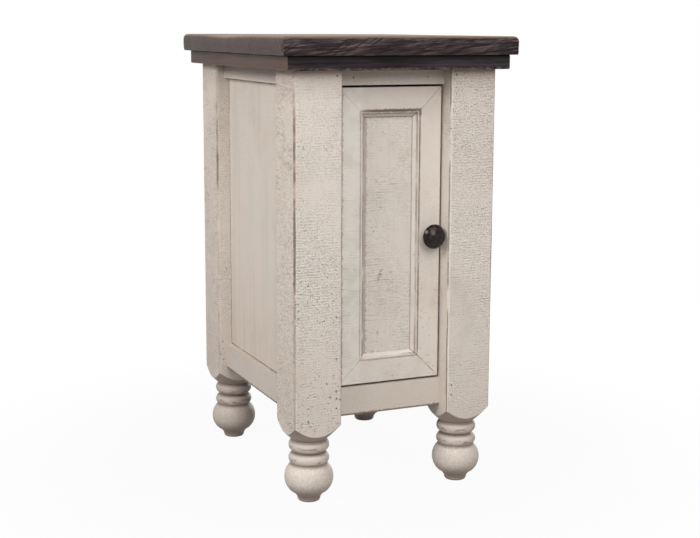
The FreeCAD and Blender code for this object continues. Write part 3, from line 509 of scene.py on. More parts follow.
def new_material(name):
    """A node material with its shader, returned with its graph."""
    material = bpy.data.materials.new(name)
    graph = empty_graph(material)
    shader = graph.add("BsdfPrincipled")
    graph.add("OutputMaterial", {"Surface": shader.outputs[0]})
    return material, graph, shader


def dress(graph, shader, colour, plain, height=None, relief=0.0004):
    """Joins a colour and a relief to a shader, and sets the sockets that are the same all over."""
    graph.feed(shader.inputs["Base Color"], colour)
    for name, value in plain.items():
        shader.inputs[name].default_value = value
    if height is not None:
        bump = graph.add("Bump", {"Height": height, "Distance": relief})
        graph.feed(shader.inputs["Normal"], bump.outputs[0])


def assign(material, nodes):
    for node in nodes:
        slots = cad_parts[node].data.materials
        slots.clear()
        slots.append(material)


class Coat:
    """Worn paint, laid on in layers: tone, saw marks, pits, glaze, bare wood and painted shade towards the
    floor.
    """

    def __init__(self, name):
        self.paint = bpy.context.scene.side_table_paint
        self.material, self.graph, self.shader = new_material(name)
        self.place = self.graph.place()
        self.normal = self.graph.normal()
        tone = {key: linear(getattr(self.paint, key.lower())) for key in ("Cream", "Cool", "Dull")}
        self.colour = self.graph.group(paint_tone(), {"Vector": self.place, **tone})["Color"]
        self.height = None

    def lay(self, mask, colour, strength):
        factor = self.graph.product(mask, strength)
        self.colour = self.graph.mix(factor, self.colour, linear(colour))

    def raise_by(self, mask, depth):
        part = self.graph.product(mask, depth)
        self.height = part if self.height is None else self.graph.math("ADD", self.height, part)

    def shade_towards_floor(self, strength):
        """Painted shade: paint made duller towards the floor, where less light falls."""
        _, _, z = self.graph.split(self.place)
        self.lay(self.graph.step(z, 0.34, 0.10), self.paint.dull, strength)

    def rows(self, way, spacing, dashes, patches, strength, depth, part=1.0):
        mask = self.graph.group(saw_rows(), {
            "Vector": self.place, "Way": way, "Rows": math.tau / spacing, "Dashes": dashes,
            "Patches": patches})["Mask"]
        mask = self.graph.product(mask, part)
        self.lay(mask, self.paint.glaze, strength)
        self.raise_by(mask, -depth)

    def stipple(self, fineness, way, spacing, patches, amount, strength, depth):
        skin = self.graph.group(stipple(), {
            "Vector": self.place, "Fineness": fineness, "Way": way, "Rows": math.tau / spacing,
            "Patches": patches, "Amount": amount})
        self.lay(skin["Hollows"], self.paint.glaze, strength)
        self.lay(skin["Flecks"], self.paint.pale, strength * 1.8)
        self.raise_by(skin["Hollows"], -depth)
        self.raise_by(skin["Flecks"], depth)

    def pits(self, cells, share, clusters, amount, strength, depth):
        mask = self.graph.group(pits(), {
            "Vector": self.place, "Cells": cells, "Share": share, "Clusters": clusters,
            "Amount": amount})["Mask"]
        self.lay(mask, self.paint.glaze, strength)
        self.raise_by(mask, -depth)

    def grain(self, fineness, strength):
        """Fine fibres that show through the paint."""
        fibres = self.graph.noise(self.graph.scaled(self.place, fineness), 1.0, 3.0, 0.6)
        self.lay(self.graph.step(fibres, 0.45, 0.8), self.paint.dull, strength)
        self.raise_by(fibres, 0.2)

    def line(self, distance, width, breaks, amount, strength, colour=None):
        mask = self.graph.group(broken_line(), {
            "Vector": self.place, "Distance": distance, "Width": width, "Breaks": breaks,
            "Amount": amount})["Mask"]
        self.lay(mask, colour or self.paint.glaze, strength)

    def finish(self, roughness, relief):
        plain = {"Roughness": roughness, "Specular IOR Level": 0.35}
        dress(self.graph, self.shader, self.colour, plain, self.height, relief)
        return self.material


# Painted pieces

def post_paint():
    """Posts with saw marks and pits, worn corners and glaze in the turnings, painted shade under the top,
    shoulders and feet, a painted side light, and painted highlights on the corners.
    """
    coat = Coat("post_paint")
    graph, paint = coat.graph, coat.paint
    x, y, z = graph.split(coat.place)
    sideways, forward, up = graph.split(coat.normal)
    on_post = graph.step(z, *POST_START)
    on_foot = graph.rest(on_post)
    inside = graph.step(graph.size(x), LEG_LOW.x + 0.0025, LEG_LOW.x + 0.0005)

    # Painted shade towards the floor
    coat.shade_towards_floor(0.5)
    coat.grain((240.0, 240.0, 14.0), 0.3)
    outside = graph.math("SUBTRACT", on_post, inside, clamp=True)
    flank = graph.step(graph.size(sideways), 0.5, 0.9)
    right = graph.step(x, 0.0, LEG_LOW.x)
    # Painted light: a pinkish tint on the posts' side faces
    coat.lay(graph.product(flank, outside), paint.warm_side_light, 0.55)
    # Painted shade: the side faces duller low down
    coat.lay(graph.product(flank, outside, graph.step(z, 0.3, 0.14)), paint.dull, 0.4)
    # The right posts made duller towards their tops
    coat.lay(graph.product(right, outside, graph.step(z, 0.3, 0.5)), paint.dull, 0.3)
    sawn = graph.product(on_post, graph.scale_add(graph.product(flank, outside), 1.8, 0.9))
    coat.rows(SAWN, 0.0037, (110.0, 110.0, 320.0), 13.0, 0.19, 0.5, sawn)
    upper = graph.product(right, graph.step(z, 0.2, 0.45), graph.rest(flank))
    middle = graph.product(graph.rest(right), graph.band(z, 0.25, 0.44, 0.08))
    dense = graph.scale_add(upper, 0.16, graph.scale_add(middle, 0.11, -0.05))
    amount = graph.scale_add(graph.math("MAXIMUM", on_foot, inside), -0.6, dense)
    coat.stipple((400.0, 380.0, 560.0), SAWN, 0.0038, 15.0, amount, 0.26, 0.33)
    coat.pits(430.0, 0.5, 24.0, graph.math("ADD", amount, 0.06), 0.17, 0.45)
    amount = graph.product(on_foot, -0.3)
    for spot in PITTED_SPOTS:
        away = graph.add("VectorMath", {0: coat.place, 1: spot}, operation="DISTANCE").outputs["Value"]
        amount = graph.scale_add(graph.step(away, 0.1, 0.03), 0.2, amount)
    coat.pits(300.0, 0.36, 15.0, amount, 0.65, 1.3)
    amount = graph.scale_add(right, -0.3, graph.minus(amount, 0.14))
    coat.pits(215.0, 0.4, 34.0, amount, 0.6, 1.5)

    wander = graph.noise(graph.scaled(coat.place, (20.0, 20.0, 14.0)), 1.0, 4.0, 0.65)
    turn = graph.scale_add(graph.minus(wander, 0.5), 0.7, graph.size(sideways))
    arris = graph.size(graph.product(sideways, forward))
    arris = graph.product(graph.step(arris, 0.05, 0.2), on_post)
    # Painted highlight: a pale strip on the front side of each rounded corner
    coat.lay(graph.product(graph.band(turn, 0.06, 0.28, 0.08), arris), paint.pale, 0.5)
    worn = graph.noise(graph.scaled(coat.place, (9.0, 9.0, 7.0)), 1.0, 4.0, 0.7)
    inner = graph.step(graph.size(x), LEG_CENTRE[0], LEG_LOW.x)
    edge = graph.product(graph.band(turn, 0.34, 1.2, 0.1), arris, graph.rest(inner))
    edge = graph.product(edge, graph.scale_add(graph.step(z, 0.16, 0.36), 0.65, 0.35))
    share = graph.scale_add(graph.step(worn, 0.36, 0.52), 0.65, 0.25)
    coat.lay(graph.product(edge, share), paint.bare, 0.6)
    coat.lay(graph.product(edge, graph.step(worn, 0.48, 0.6)), paint.glaze, 0.75)
    # Glaze along the posts' inner corners, darkened as painted shade of the gaps beside them
    edge = graph.product(graph.band(turn, 0.66, 0.95, 0.08), arris, inner)
    coat.lay(graph.product(edge, graph.step(worn, 0.34, 0.46)), paint.glaze, 0.7)

    # Painted shade on the downward-facing shoulders
    under = graph.product(graph.step(up, -0.15, -0.5), graph.band(z, *SHOULDER, 0.004))
    coat.lay(under, paint.shade, 0.55)
    for groove in TURNED_GROOVES:
        coat.lay(graph.step(graph.offset(z, groove), 0.0042, 0.0006), paint.glaze, 0.6)
    rubbed = graph.noise(graph.scaled(coat.place, (75.0, 75.0, 260.0)), 1.0, 3.0, 0.6)
    rubbed = graph.step(rubbed, 0.5, 0.62)
    for crest in TURNED_CRESTS:
        ridge = graph.band(z, crest - 0.002, crest + 0.002, 0.002)
        coat.lay(graph.product(ridge, rubbed), paint.glaze, 0.62)
    # Painted shade at the foot of each leg, near the floor
    coat.lay(graph.step(z, *FOOT_BASE), paint.shade, 0.72)
    crackle = graph.noise(coat.place, 420.0, 3.0, 0.6)
    bulb = graph.band(z, *BULB, 0.006)
    coat.lay(graph.product(graph.step(crackle, 0.5, 0.68), bulb), paint.pale, 0.4)
    coat.lay(graph.product(graph.step(crackle, 0.5, 0.3), bulb), paint.shade, 0.2)
    # Painted shade on the feet: more towards the right, away from the light, and on the back feet
    coat.lay(graph.product(on_foot, graph.step(x, -0.16, -0.08)), paint.shade, 0.1)
    coat.lay(graph.product(on_foot, graph.step(y, 0.0, 0.1)), paint.shade, 0.22)
    coat.lay(graph.band(z, *BEADS, 0.002), paint.shade, 0.1)
    # Painted shadow of the top's overhang on the posts' upper ends
    coat.lay(graph.step(z, UNDER_TOP - 0.012, UNDER_TOP), paint.shade, 0.4)
    coat.lay(graph.step(z, UNDER_TOP - 0.050, UNDER_TOP - 0.006), paint.shade, 0.25)
    return coat.finish(0.6, 0.0006)


def rail_paint(name, fineness, under_top_shade, foot):
    """Smooth rails with fine saw lines, painted shade under the top, and a painted shadow line along their
    foot.
    """
    coat = Coat(name)
    graph = coat.graph
    _, _, z = graph.split(coat.place)
    # Painted shade towards the floor
    coat.shade_towards_floor(0.85)
    coat.grain(fineness, 0.5)
    coat.stipple((420.0, 420.0, 420.0), LEVEL, 0.0031, 10.0, -0.1, 0.08, 0.3)
    coat.rows(LEVEL, 0.0034, (50.0, 50.0, 260.0), 16.0, 0.09, 0.3)
    # Painted shade of the top's overhang, with some brown dirt
    coat.lay(graph.step(z, UNDER_TOP - 0.024, UNDER_TOP - 0.004), coat.paint.shade, under_top_shade)
    # Painted shadow: a dark line along the rails' lower edge
    coat.line(graph.minus(z, foot), 0.0034, 20.0, 0.25, 0.8)
    return coat.finish(0.6, 0.0005)


def paint_rails():
    assign(rail_paint("rail_paint", (330.0, 330.0, 12.0), 0.3, FRONT_FOOT), CROSS_RAILS)
    assign(rail_paint("side_rail_paint", (14.0, 14.0, 330.0), 0.72, SIDE_FOOT), SIDE_RAILS)


def side_panel_paint():
    """Panels with fine upright grain, glaze where they meet the posts and rails, painted shade towards the
    floor, and streaks of a pinkish painted side light.
    """
    coat = Coat("side_panel_paint")
    graph = coat.graph
    _, y, z = graph.split(coat.place)
    # Painted shade towards the floor
    coat.shade_towards_floor(1.0)
    coat.grain((330.0, 330.0, 10.0), 0.4)
    coat.rows(LEVEL, 0.0034, (50.0, 50.0, 200.0), 9.0, 0.09, 0.3)
    streaks = graph.noise(graph.scaled(coat.place, (60.0, 60.0, 3.0)), 1.0, 2.0)
    # Painted light: streaks of the pinkish side tint
    coat.lay(graph.step(streaks, 0.3, 0.55), coat.paint.warm_side_light, 0.32)
    coat.lay(graph.step(streaks, 0.5, 0.36), coat.paint.dull, 0.22)
    from_post = graph.minus(POST_INNER_Y, graph.size(y))
    from_foot = graph.minus(z, PANEL_FOOT)
    coat.line(graph.math("MINIMUM", from_post, from_foot), 0.0024, 14.0, 0.1, 0.7)
    coat.line(graph.minus(PANEL_HEAD, z), 0.0028, 14.0, 0.35, 0.85)
    return coat.finish(0.6, 0.0005)


def door_frame_paint():
    """Smooth door frame: glaze along its quirk and mitres, painted shade on its outer edges, top rail,
    right-facing bevel and beside the hinge post, and painted light on the hinge stile.
    """
    coat = Coat("door_frame_paint")
    graph, paint = coat.graph, coat.paint
    x, y, z = graph.split(coat.place)
    centre = (DOOR_LOW + DOOR_HIGH) / 2
    half = (DOOR_HIGH - DOOR_LOW) / 2
    from_side = graph.minus(half.x, graph.offset(x, centre.x))
    from_end = graph.minus(half.z, graph.offset(z, centre.z))
    inset = graph.math("MINIMUM", from_side, from_end)
    sideways, _, _ = graph.split(coat.normal)
    coat.grain((200.0, 200.0, 60.0), 0.3)
    coat.stipple((400.0, 400.0, 420.0), LEVEL, 0.0031, 9.0, -0.12, 0.08, 0.4)
    coat.pits(300.0, 0.2, 11.0, 0.0, 0.45, 1.0)
    coat.line(graph.minus(from_side, from_end), 0.0010, 34.0, 0.1, 0.75)
    upper = graph.step(z, DOOR_HIGH.z - 0.044, DOOR_HIGH.z - 0.036)
    lower = graph.step(z, DOOR_LOW.z + 0.044, DOOR_LOW.z + 0.036)
    # Painted shade under the top's overhang, with glaze: the top rail duller
    coat.lay(upper, paint.dull, 0.3)
    # Glaze in the quirk, made wider and darker along the top rail as painted shade, and fainter along the
    # bottom rail, which faces the light
    strength = graph.scale_add(upper, 0.26, graph.scale_add(lower, -0.35, 0.58))
    width = graph.scale_add(upper, 0.0016, 0.0015)
    coat.line(graph.minus(inset, QUIRK_INSET), width, 14.0, 0.12, strength)
    coat.line(graph.minus(inset, BEVEL_INSET), 0.0012, 11.0, 0.04, 0.6, paint.shade)
    # Painted shade in the glaze colour on the bevel that faces right, away from the light
    bevel = graph.product(graph.step(inset, 0.0354, 0.0362), graph.step(sideways, 0.2, 0.4))
    patches = graph.step(graph.noise(coat.place, 24.0, 3.0), 0.3, 0.5)
    coat.lay(graph.product(bevel, patches), paint.glaze, 0.5)
    hinged = graph.step(x, DOOR_LOW.x + 0.04, DOOR_LOW.x + 0.03)
    # Cool patches on the hinge stile, and pale patches as painted light against the hinge post's shadow
    for fineness, high, tint, strength in ((14.0, 0.55, paint.cool, 0.6), (40.0, 0.6, paint.pale, 0.45)):
        patches = graph.step(graph.noise(coat.place, fineness, 2.0), 0.3, high)
        coat.lay(graph.product(hinged, patches), tint, strength)
    coat.rows(LEVEL, 0.0036, (90.0, 90.0, 300.0), 18.0, 0.2, 0.4, hinged)
    # Painted shadow of the hinge post along the hinge stile
    coat.line(graph.minus(x, DOOR_LOW.x + 0.003), 0.005, 20.0, 0.18, 0.5)
    # Painted shade: the door's outer edges dark at the front and along the top, where they face the gaps
    front = graph.step(y, DOOR_LOW.y + 0.006, DOOR_LOW.y + 0.002)
    head = graph.step(z, DOOR_HIGH.z - 0.001, DOOR_HIGH.z - 0.0002)
    shaded_gap_edges = graph.product(graph.step(inset, 0.0011, 0.0003), graph.math("MAXIMUM", front, head))
    coat.lay(shaded_gap_edges, paint.gap, 0.92)
    return coat.finish(0.55, 0.0005)


def door_panel_paint():
    """The panel's saw rows, and one small knot that the paint has sunk into."""
    coat = Coat("door_panel_paint")
    graph, paint = coat.graph, coat.paint
    coat.grain((240.0, 240.0, 12.0), 0.35)
    coat.rows(LEVEL, 0.0036, (55.0, 55.0, 320.0), 13.0, 0.2, 0.5)
    coat.stipple((340.0, 340.0, 500.0), LEVEL, 0.0038, 14.0, -0.05, 0.17, 0.4)
    coat.pits(300.0, 0.25, 15.0, 0.0, 0.5, 1.2)
    x, _, z = graph.split(coat.place)
    # Glaze along the panel's left border, widened as painted shade from the bevel beside it
    coat.line(graph.minus(x, OPENING_LOW.x), 0.0064, 9.0, 0.15, 0.4)
    coat.line(graph.minus(OPENING_HIGH.x, x), 0.0016, 9.0, 0.1, 0.45)
    coat.line(graph.minus(OPENING_HIGH.z, z), 0.0022, 9.0, 0.1, 0.6)
    x, _, z = graph.split(graph.moved(coat.place, KNOT_PLACE))
    leaning = graph.math("DIVIDE", graph.scale_add(z, -0.35, x), KNOT_HALF[0])
    upright = graph.math("DIVIDE", z, KNOT_HALF[1])
    reach = graph.math("ADD", graph.math("POWER", leaning, 2.0), graph.math("POWER", upright, 2.0))
    broken = graph.step(graph.noise(coat.place, 420.0, 2.0), 0.4, 0.6)
    knot = graph.product(graph.step(reach, 1.0, 0.2), broken)
    coat.lay(knot, paint.glaze, 0.55)
    coat.raise_by(knot, -1.5)
    return coat.finish(0.6, 0.0006)


def paint_door():
    assign(door_frame_paint(), DOOR_FRAME)
    assign(door_panel_paint(), ("door_panel",))


def paint_inside():
    coat = Coat("inside_paint")
    coat.grain((200.0, 14.0, 200.0), 0.4)
    assign(coat.finish(0.65, 0.0005), INSIDE)
    # Painted shade: the door stop coloured dark brown so the gaps round the door read dark
    material, graph, shader = new_material("stop_stain")
    place = graph.place()
    fibres = graph.noise(graph.scaled(place, (14.0, 300.0, 300.0)), 1.0, 3.0, 0.6)
    gap = bpy.context.scene.side_table_paint.gap
    dress(graph, shader, graph.mix(fibres, linear(gap), linear(STOP_BROWN)), {"Roughness": 0.7})
    assign(material, ("door_stop",))


# Plank top

def plank_wood(name, node, heart):
    """Dark stained plank: wisps along its edges, hewing cuts across them, paler sawn ends and top."""
    stain = bpy.context.scene.side_table_stain
    low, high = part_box(node)
    material, graph, shader = new_material(name)
    place = graph.place()
    endways, _, up = graph.split(graph.normal())
    at_end = graph.step(graph.size(endways), 0.35, 0.85)
    on_top = graph.step(up, 0.35, 0.85)
    leaning = graph.add("Mapping", {
        "Vector": place, "Location": heart, "Rotation": (0.0, stain.lean, stain.lean)}).outputs[0]

    grain = graph.group(ring_grain(), {"Vector": leaning, "Rings": 240.0})
    plain = graph.scale_add(at_end, -0.8, 1.0)
    colour = graph.mix(graph.step(grain["Fibres"], 0.3, 0.7), linear(stain.light), linear(stain.dark))
    colour = graph.mix(graph.product(grain["Rings"], plain, 0.5), colour, linear(stain.dark))
    wisps = graph.noise(graph.scaled(leaning, (11.0, 300.0, 330.0)), 1.0, 4.0, 0.6)
    broad = graph.scale_add(graph.step(graph.noise(place, 16.0, 2.0), 0.35, 0.65), 0.6, 0.4)
    share = graph.scale_add(on_top, -0.3, 0.62)
    wisps = graph.product(graph.step(wisps, 0.42, 0.68), broad, share)
    colour = graph.mix(wisps, colour, linear(stain.wisp))
    sawn = graph.noise(graph.scaled(place, (200.0, 60.0, 320.0)), 1.0, 3.0, 0.6)
    ends = graph.mix(graph.product(graph.step(sawn, 0.4, 0.7), 0.3), linear(stain.end), linear(stain.light))
    ends = graph.mix(graph.product(grain["Rings"], 0.12), ends, linear(stain.dark))
    colour = graph.mix(graph.product(at_end, 0.85), colour, ends)
    colour = graph.mix(graph.product(on_top, 0.6), colour, linear(stain.worn))

    slanting = graph.add("Mapping", {"Vector": place, "Rotation": (0.0, stain.cut_slope, 0.0)}).outputs[0]
    cuts = graph.step(graph.noise(graph.scaled(slanting, (12.0, 60.0, 420.0)), 1.0, 2.0, 0.5), 0.57, 0.64)
    sides = graph.rest(graph.math("MAXIMUM", at_end, on_top))
    cuts = graph.product(cuts, sides, graph.step(graph.noise(place, 9.0, 2.0), 0.42, 0.58))
    colour = graph.mix(graph.product(cuts, 0.85), colour, linear(stain.dark))
    _, y, _ = graph.split(place)
    seam = graph.math("MINIMUM", graph.minus(y, low.y), graph.minus(high.y, y))
    seam = graph.product(graph.step(seam, 0.0010, 0.0002), graph.math("MAXIMUM", at_end, on_top))
    colour = graph.mix(graph.product(seam, 0.7), colour, linear(stain.dark))

    graph.feed(shader.inputs["Coat Weight"], graph.product(on_top, 0.15))
    height = graph.scale_add(grain["Fibres"], 0.6, graph.product(grain["Rings"], plain))
    height = graph.minus(height, graph.product(cuts, 1.5))
    dress(graph, shader, colour,
          {"Coat Roughness": 0.35, "Roughness": 0.42, "Specular IOR Level": 0.12}, height)
    return material


def moulding_wood(name, turn):
    """Dark moulding under the planks: painted shadow along its top, rubbed grey along its middle, brown and
    chipped at its foot, and painted sheen in brown on its sides.
    """
    stain = bpy.context.scene.side_table_stain
    foot = MOULDING_LOW.z
    material, graph, shader = new_material(name)
    place = graph.place()
    endways, _, _ = graph.split(graph.normal())
    _, y, z = graph.split(place)
    along = graph.add("Mapping", {"Vector": place, "Rotation": (0.0, 0.0, turn)}).outputs[0]
    fibres = graph.noise(graph.scaled(along, (12.0, 300.0, 300.0)), 1.0, 3.0, 0.6)
    colour = graph.mix(graph.step(fibres, 0.35, 0.65), linear(stain.dark), linear(stain.light))
    # Painted shadow of the planks' overhang on the moulding's upper part
    upper = graph.product(graph.step(z, foot + 0.009, foot + 0.018), 0.6)
    colour = graph.mix(upper, colour, linear(stain.dark))

    rubbed = graph.step(graph.noise(graph.scaled(along, (8.0, 60.0, 90.0)), 1.0, 3.0, 0.6), 0.42, 0.62)
    rubbed = graph.product(rubbed, graph.band(z, foot + 0.006, foot + 0.012, 0.005), 0.5)
    colour = graph.mix(rubbed, colour, linear(stain.grey))
    # Painted sheen: the side faces brown, more so towards the front, for the light they catch from the left
    paler = graph.scale_add(graph.step(y, 0.2, -0.2), 0.3, 0.45)
    at_side = graph.step(graph.size(endways), 0.5, 0.9)
    streaks = graph.step(graph.noise(graph.scaled(along, (14.0, 90.0, 160.0)), 1.0, 3.0, 0.65), 0.28, 0.62)
    streaks = graph.scale_add(streaks, 0.6, 0.55)
    colour = graph.mix(graph.product(at_side, paler, streaks), colour, linear(stain.side))
    chipped = graph.step(graph.noise(graph.scaled(along, (60.0, 60.0, 160.0)), 1.0, 3.0, 0.65), 0.38, 0.58)
    fronted = graph.scale_add(at_side, -0.4, 0.5)
    chipped = graph.product(chipped, graph.step(z, foot + 0.0034, foot + 0.0012), fronted)
    colour = graph.mix(chipped, colour, linear(stain.worn))
    rubbed = graph.step(graph.noise(graph.scaled(along, (120.0, 120.0, 260.0)), 1.0, 2.0), 0.5, 0.56)
    rubbed = graph.product(rubbed, graph.step(z, foot + 0.0045, foot + 0.0008), graph.minus(0.75, at_side))
    colour = graph.mix(rubbed, colour, linear(stain.wisp))

    height = graph.minus(graph.product(fibres, 0.8), chipped)
    dress(graph, shader, colour, {"Roughness": 0.45, "Specular IOR Level": 0.12}, height)
    return material


def merged_copy(node):
    """A bmesh of a node's mesh with its loose triangles joined and its flat faces whole."""
    form = bmesh.new()
    form.from_mesh(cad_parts[node].data)
    bmesh.ops.remove_doubles(form, verts=form.verts, dist=JOIN_DISTANCE)
    bmesh.ops.dissolve_limit(form, angle_limit=FLAT_ANGLE, verts=form.verts, edges=form.edges)
    return form


def slice_form(form, axis, pitch):
    """Cuts a bmesh across one axis at an even pitch."""
    direction = Vector((0, 0, 0))
    direction[axis] = 1.0
    low = min(vert.co[axis] for vert in form.verts)
    high = max(vert.co[axis] for vert in form.verts)
    count = max(2, round((high - low) / pitch))
    for number in range(1, count):
        place = direction * (low + (high - low) * number / count)
        bmesh.ops.bisect_plane(form, geom=form.verts[:] + form.edges[:] + form.faces[:],
                               dist=CUT_DISTANCE, plane_co=place, plane_no=direction)


def finish_piece(form, name, material, sharp=35.0):
    """Turns a bmesh into an object with smooth faces and sharp corners."""
    for face in form.faces:
        face.smooth = True
    for edge in form.edges:
        edge.smooth = edge.calc_face_angle(math.pi) < math.radians(sharp)
    mesh = bpy.data.meshes.new(name)
    form.to_mesh(mesh)
    form.free()
    mesh.materials.append(material)
    piece = bpy.data.objects.new(name, mesh)
    bpy.context.scene.collection.objects.link(piece)
    return piece


def fade(distance, reach):
    """1 at an edge, falling smoothly to 0 at the given reach from it."""
    share = max(0.0, 1.0 - distance / reach)
    return share * share * (3.0 - 2.0 * share)


def hew(point):
    """Where a point of the squared top lies once its edges are hewn by hand."""
    stain = bpy.context.scene.side_table_stain
    middle = (TOP_LOW + TOP_HIGH) / 2
    half = (TOP_HIGH - TOP_LOW) / 2
    out = point - middle
    at_end = fade(half.x - abs(out.x), EDGE_REACH)
    at_edge = fade(half.y - abs(out.y), EDGE_REACH)
    moved = point.copy()
    side = math.copysign(1.0, out.x)
    face = math.copysign(1.0, out.y)
    long_x = noise.noise(Vector((out.x * 11, 3.0 * face, out.z * 14)))
    short_x = noise.noise(Vector((out.x * 46 + out.z * 40, 9.0 * face, out.z * 30)))
    long_y = noise.noise(Vector((4.0 * side, out.y * 10, out.z * 14)))
    short_y = noise.noise(Vector((8.0 * side, out.y * 42, out.z * 40)))
    moved.y += face * at_edge * stain.hew * (0.8 * long_x + 0.55 * short_x - 0.35)
    moved.x += side * at_end * stain.hew * (0.8 * long_y + 0.45 * short_y - 0.35)
    upper = max(0.0, out.z / half.z)
    lower = max(0.0, -out.z / half.z)
    moved.z += upper * stain.hew * (0.35 * long_x * at_edge + 0.35 * long_y * at_end - 0.15)
    moved.z += lower * stain.hew * 0.5 * (short_x * at_edge + short_y * at_end)
    sunk = fade(out.x + half.x, DIP_REACH[0]) * fade(abs(out.y - DIP_CENTRE), DIP_REACH[1])
    moved.z -= upper * stain.dip * sunk
    return moved


def make_plank(node, material):
    stain = bpy.context.scene.side_table_stain
    form = merged_copy(node)
    slice_form(form, 0, stain.slice)
    slice_form(form, 1, stain.slice * 2)
    slice_form(form, 2, stain.slice)
    for vert in form.verts:
        vert.co = hew(vert.co)
    piece = finish_piece(form, f"hewn_{node}", material)
    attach(piece, "cabinet")
    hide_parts(node)


def make_top():
    for number, node in enumerate(PLANKS):
        low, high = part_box(node)
        middle = (low + high) / 2
        heart = (0.2 * number, -middle.y, -(low.z - 0.03))
        make_plank(node, plank_wood(f"{node}_wood", node, heart))
    assign(moulding_wood("cross_moulding_wood", 0.0), (MOULDINGS[0], MOULDINGS[2]))
    assign(moulding_wood("side_moulding_wood", math.pi / 2), (MOULDINGS[1], MOULDINGS[3]))


# Hardware

def bronze(name, roughness):
    material, graph, shader = new_material(name)
    place = graph.place()
    mottle = graph.noise(place, 180.0, 4.0, 0.65)
    colour = graph.mix(graph.step(mottle, 0.35, 0.7), *map(linear, BRONZE))
    dress(graph, shader, colour, {"Metallic": 0.7, "Roughness": roughness}, mottle)
    return material


def steel(name, colour, roughness):
    material, graph, shader = new_material(name)
    place = graph.place()
    brushed = graph.noise(graph.scaled(place, (900.0, 900.0, 120.0)), 1.0, 2.0)
    dim = tuple(share * 0.7 for share in colour)
    colour = graph.mix(brushed, linear(dim), linear(colour))
    dress(graph, shader, colour, {"Metallic": 1.0, "Roughness": roughness})
    return material


def fit_hardware():
    assign(bronze("knob_bronze", 0.15), ("knob",))
    assign(bronze("hinge_bronze", 0.45), HINGES)
    assign(steel("nail_steel", NAIL_GREY, 0.7), NAILS)
    assign(steel("screw_steel", SCREW_GREY, 0.4), SCREWS)
    assign(steel("bright_steel", BRIGHT_GREY, 0.3), BRIGHT_STEEL)
    material, graph, shader = new_material("catch_plastic")
    place = graph.place()
    speckle = graph.noise(place, 900.0, 2.0)
    dress(graph, shader, graph.mix(speckle, *map(linear, CATCH_BROWN)), {"Roughness": 0.5})
    assign(material, ("catch_housing",))


# Stage

def add_lamp(name, place, target, size, power):
    light = bpy.data.lights.new(name, "AREA")
    light.size = size
    light.energy = power
    lamp = bpy.data.objects.new(name, light)
    bpy.context.scene.collection.objects.link(lamp)
    lamp.location = place
    lamp.rotation_euler = (Vector(target) - Vector(place)).to_track_quat("-Z", "Y").to_euler()


def seen_directly(graph):
    """1 for camera, glossy and transmission rays, which see plain white, and 0 for light."""
    path = graph.add("LightPath").outputs
    seen = graph.math("MAXIMUM", path["Is Camera Ray"], path["Is Glossy Ray"])
    return graph.math("MAXIMUM", seen, path["Is Transmission Ray"])


def floor_white():
    """A matt floor that is white to the camera, and keeps the object's shadow close to it."""
    material = bpy.data.materials.new("floor_white")
    graph = empty_graph(material)
    place = graph.place()
    away = graph.add("VectorMath", {0: place}, operation="LENGTH").outputs["Value"]
    plain = graph.step(away, 0.25, 0.75)
    factor = graph.product(seen_directly(graph), graph.scale_add(plain, 0.05, 0.95))
    matt = graph.add("BsdfDiffuse", {"Color": FLOOR_GREY})
    white = graph.add("Emission", {"Color": WHITE, "Strength": 1.0})
    blend = graph.add("MixShader", {0: factor, 1: matt.outputs[0], 2: white.outputs[0]})
    graph.add("OutputMaterial", {"Surface": blend.outputs[0]})
    return material


def build_stage():
    stage = bpy.context.scene.side_table_stage
    scene = bpy.context.scene
    scene.view_settings.view_transform = "Standard"

    form = bmesh.new()
    bmesh.ops.create_grid(form, x_segments=1, y_segments=1, size=FLOOR_HALF)
    mesh = bpy.data.meshes.new("floor")
    form.to_mesh(mesh)
    form.free()
    mesh.materials.append(floor_white())
    floor = bpy.data.objects.new("floor", mesh)
    scene.collection.objects.link(floor)

    world = bpy.data.worlds.new("studio")
    scene.world = world
    graph = empty_graph(world)
    soft = graph.add("Background", {"Color": WHITE, "Strength": stage.ambient})
    white = graph.add("Background", {"Color": WHITE, "Strength": 1.0})
    blend = graph.add("MixShader", {0: seen_directly(graph), 1: soft.outputs[0], 2: white.outputs[0]})
    graph.add("OutputWorld", {"Surface": blend.outputs[0]})

    middle = (CAD_BOX[0] + CAD_BOX[1]) / 2
    for setting, (name, place, size) in LAMPS.items():
        add_lamp(name, place, middle, size, getattr(stage, setting))

    lens = bpy.data.cameras.new("camera")
    lens.lens = stage.lens
    lens.sensor_width = 36.0
    lens.shift_y = stage.rise
    camera = bpy.data.objects.new("camera", lens)
    scene.collection.objects.link(camera)
    camera.matrix_world = (
        Matrix.Translation(stage.camera)
        @ Matrix.Rotation(-stage.yaw, 4, "Z")
        @ Matrix.Rotation(math.pi / 2 - stage.pitch, 4, "X")
        @ Matrix.Rotation(stage.roll, 4, "Z"))
    scene.camera = camera


# Operators

class SIDE_TABLE_OT_paint_posts(bpy.types.Operator):
    """Paints the four posts and their turned feet"""

    bl_idname = "side_table.paint_posts"
    bl_label = "Paint Posts"

    def execute(self, context):
        assign(post_paint(), LEGS)
        return {"FINISHED"}


class SIDE_TABLE_OT_paint_rails(bpy.types.Operator):
    """Paints the rails between the posts"""

    bl_idname = "side_table.paint_rails"
    bl_label = "Paint Rails"

    def execute(self, context):
        paint_rails()
        return {"FINISHED"}


class SIDE_TABLE_OT_paint_panels(bpy.types.Operator):
    """Paints the side panels"""

    bl_idname = "side_table.paint_panels"
    bl_label = "Paint Side Panels"

    def execute(self, context):
        assign(side_panel_paint(), SIDE_PANELS)
        return {"FINISHED"}


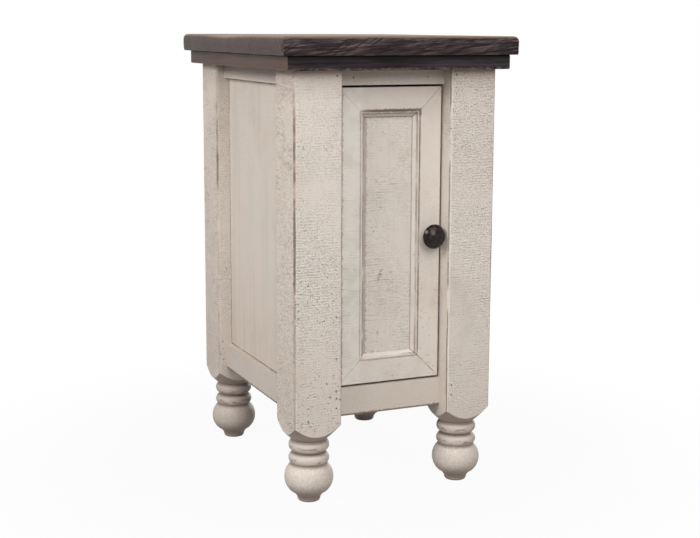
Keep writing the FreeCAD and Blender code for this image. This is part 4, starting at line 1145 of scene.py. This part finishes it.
class SIDE_TABLE_OT_paint_door(bpy.types.Operator):
    """Paints the door's frame and panel"""

    bl_idname = "side_table.paint_door"
    bl_label = "Paint Door"

    def execute(self, context):
        paint_door()
        return {"FINISHED"}


class SIDE_TABLE_OT_paint_inside(bpy.types.Operator):
    """Paints the shelf, the floor and what carries them"""

    bl_idname = "side_table.paint_inside"
    bl_label = "Paint Inside"

    def execute(self, context):
        paint_inside()
        return {"FINISHED"}


class SIDE_TABLE_OT_make_top(bpy.types.Operator):
    """Makes the plank top and the moulding under it"""

    bl_idname = "side_table.make_top"
    bl_label = "Make Top"

    def execute(self, context):
        make_top()
        return {"FINISHED"}


class SIDE_TABLE_OT_fit_hardware(bpy.types.Operator):
    """Finishes the knob, hinges, catch, nails and screws"""

    bl_idname = "side_table.fit_hardware"
    bl_label = "Fit Hardware"

    def execute(self, context):
        fit_hardware()
        return {"FINISHED"}


class SIDE_TABLE_OT_build_stage(bpy.types.Operator):
    """Builds the floor, the light and the camera"""

    bl_idname = "side_table.build_stage"
    bl_label = "Build Stage"

    def execute(self, context):
        build_stage()
        return {"FINISHED"}


OPERATORS = (
    SIDE_TABLE_OT_paint_posts,
    SIDE_TABLE_OT_paint_rails,
    SIDE_TABLE_OT_paint_panels,
    SIDE_TABLE_OT_paint_door,
    SIDE_TABLE_OT_paint_inside,
    SIDE_TABLE_OT_make_top,
    SIDE_TABLE_OT_fit_hardware,
    SIDE_TABLE_OT_build_stage,
)


class SIDE_TABLE_PT_panel(bpy.types.Panel):
    """Lists the steps of the finish in order."""

    bl_idname = "SIDE_TABLE_PT_panel"
    bl_label = "Side Table"
    bl_space_type = "VIEW_3D"
    bl_region_type = "UI"
    bl_category = "Side Table"

    def draw(self, context):
        for operator in OPERATORS:
            self.layout.operator(operator.bl_idname)


SETTINGS = {
    "side_table_paint": PaintSettings,
    "side_table_stain": StainSettings,
    "side_table_stage": StageSettings,
}
CLASSES = (*SETTINGS.values(), *OPERATORS, SIDE_TABLE_PT_panel)


def register():
    for entry in CLASSES:
        bpy.utils.register_class(entry)
    for name, group in SETTINGS.items():
        setattr(bpy.types.Scene, name, PointerProperty(type=group))


def unregister():
    for name in SETTINGS:
        delattr(bpy.types.Scene, name)
    for entry in reversed(CLASSES):
        bpy.utils.unregister_class(entry)


def main():
    register()
    for operator in OPERATORS:
        area, name = operator.bl_idname.split(".")
        getattr(getattr(bpy.ops, area), name)()


if __name__ == "__main__":
    main()
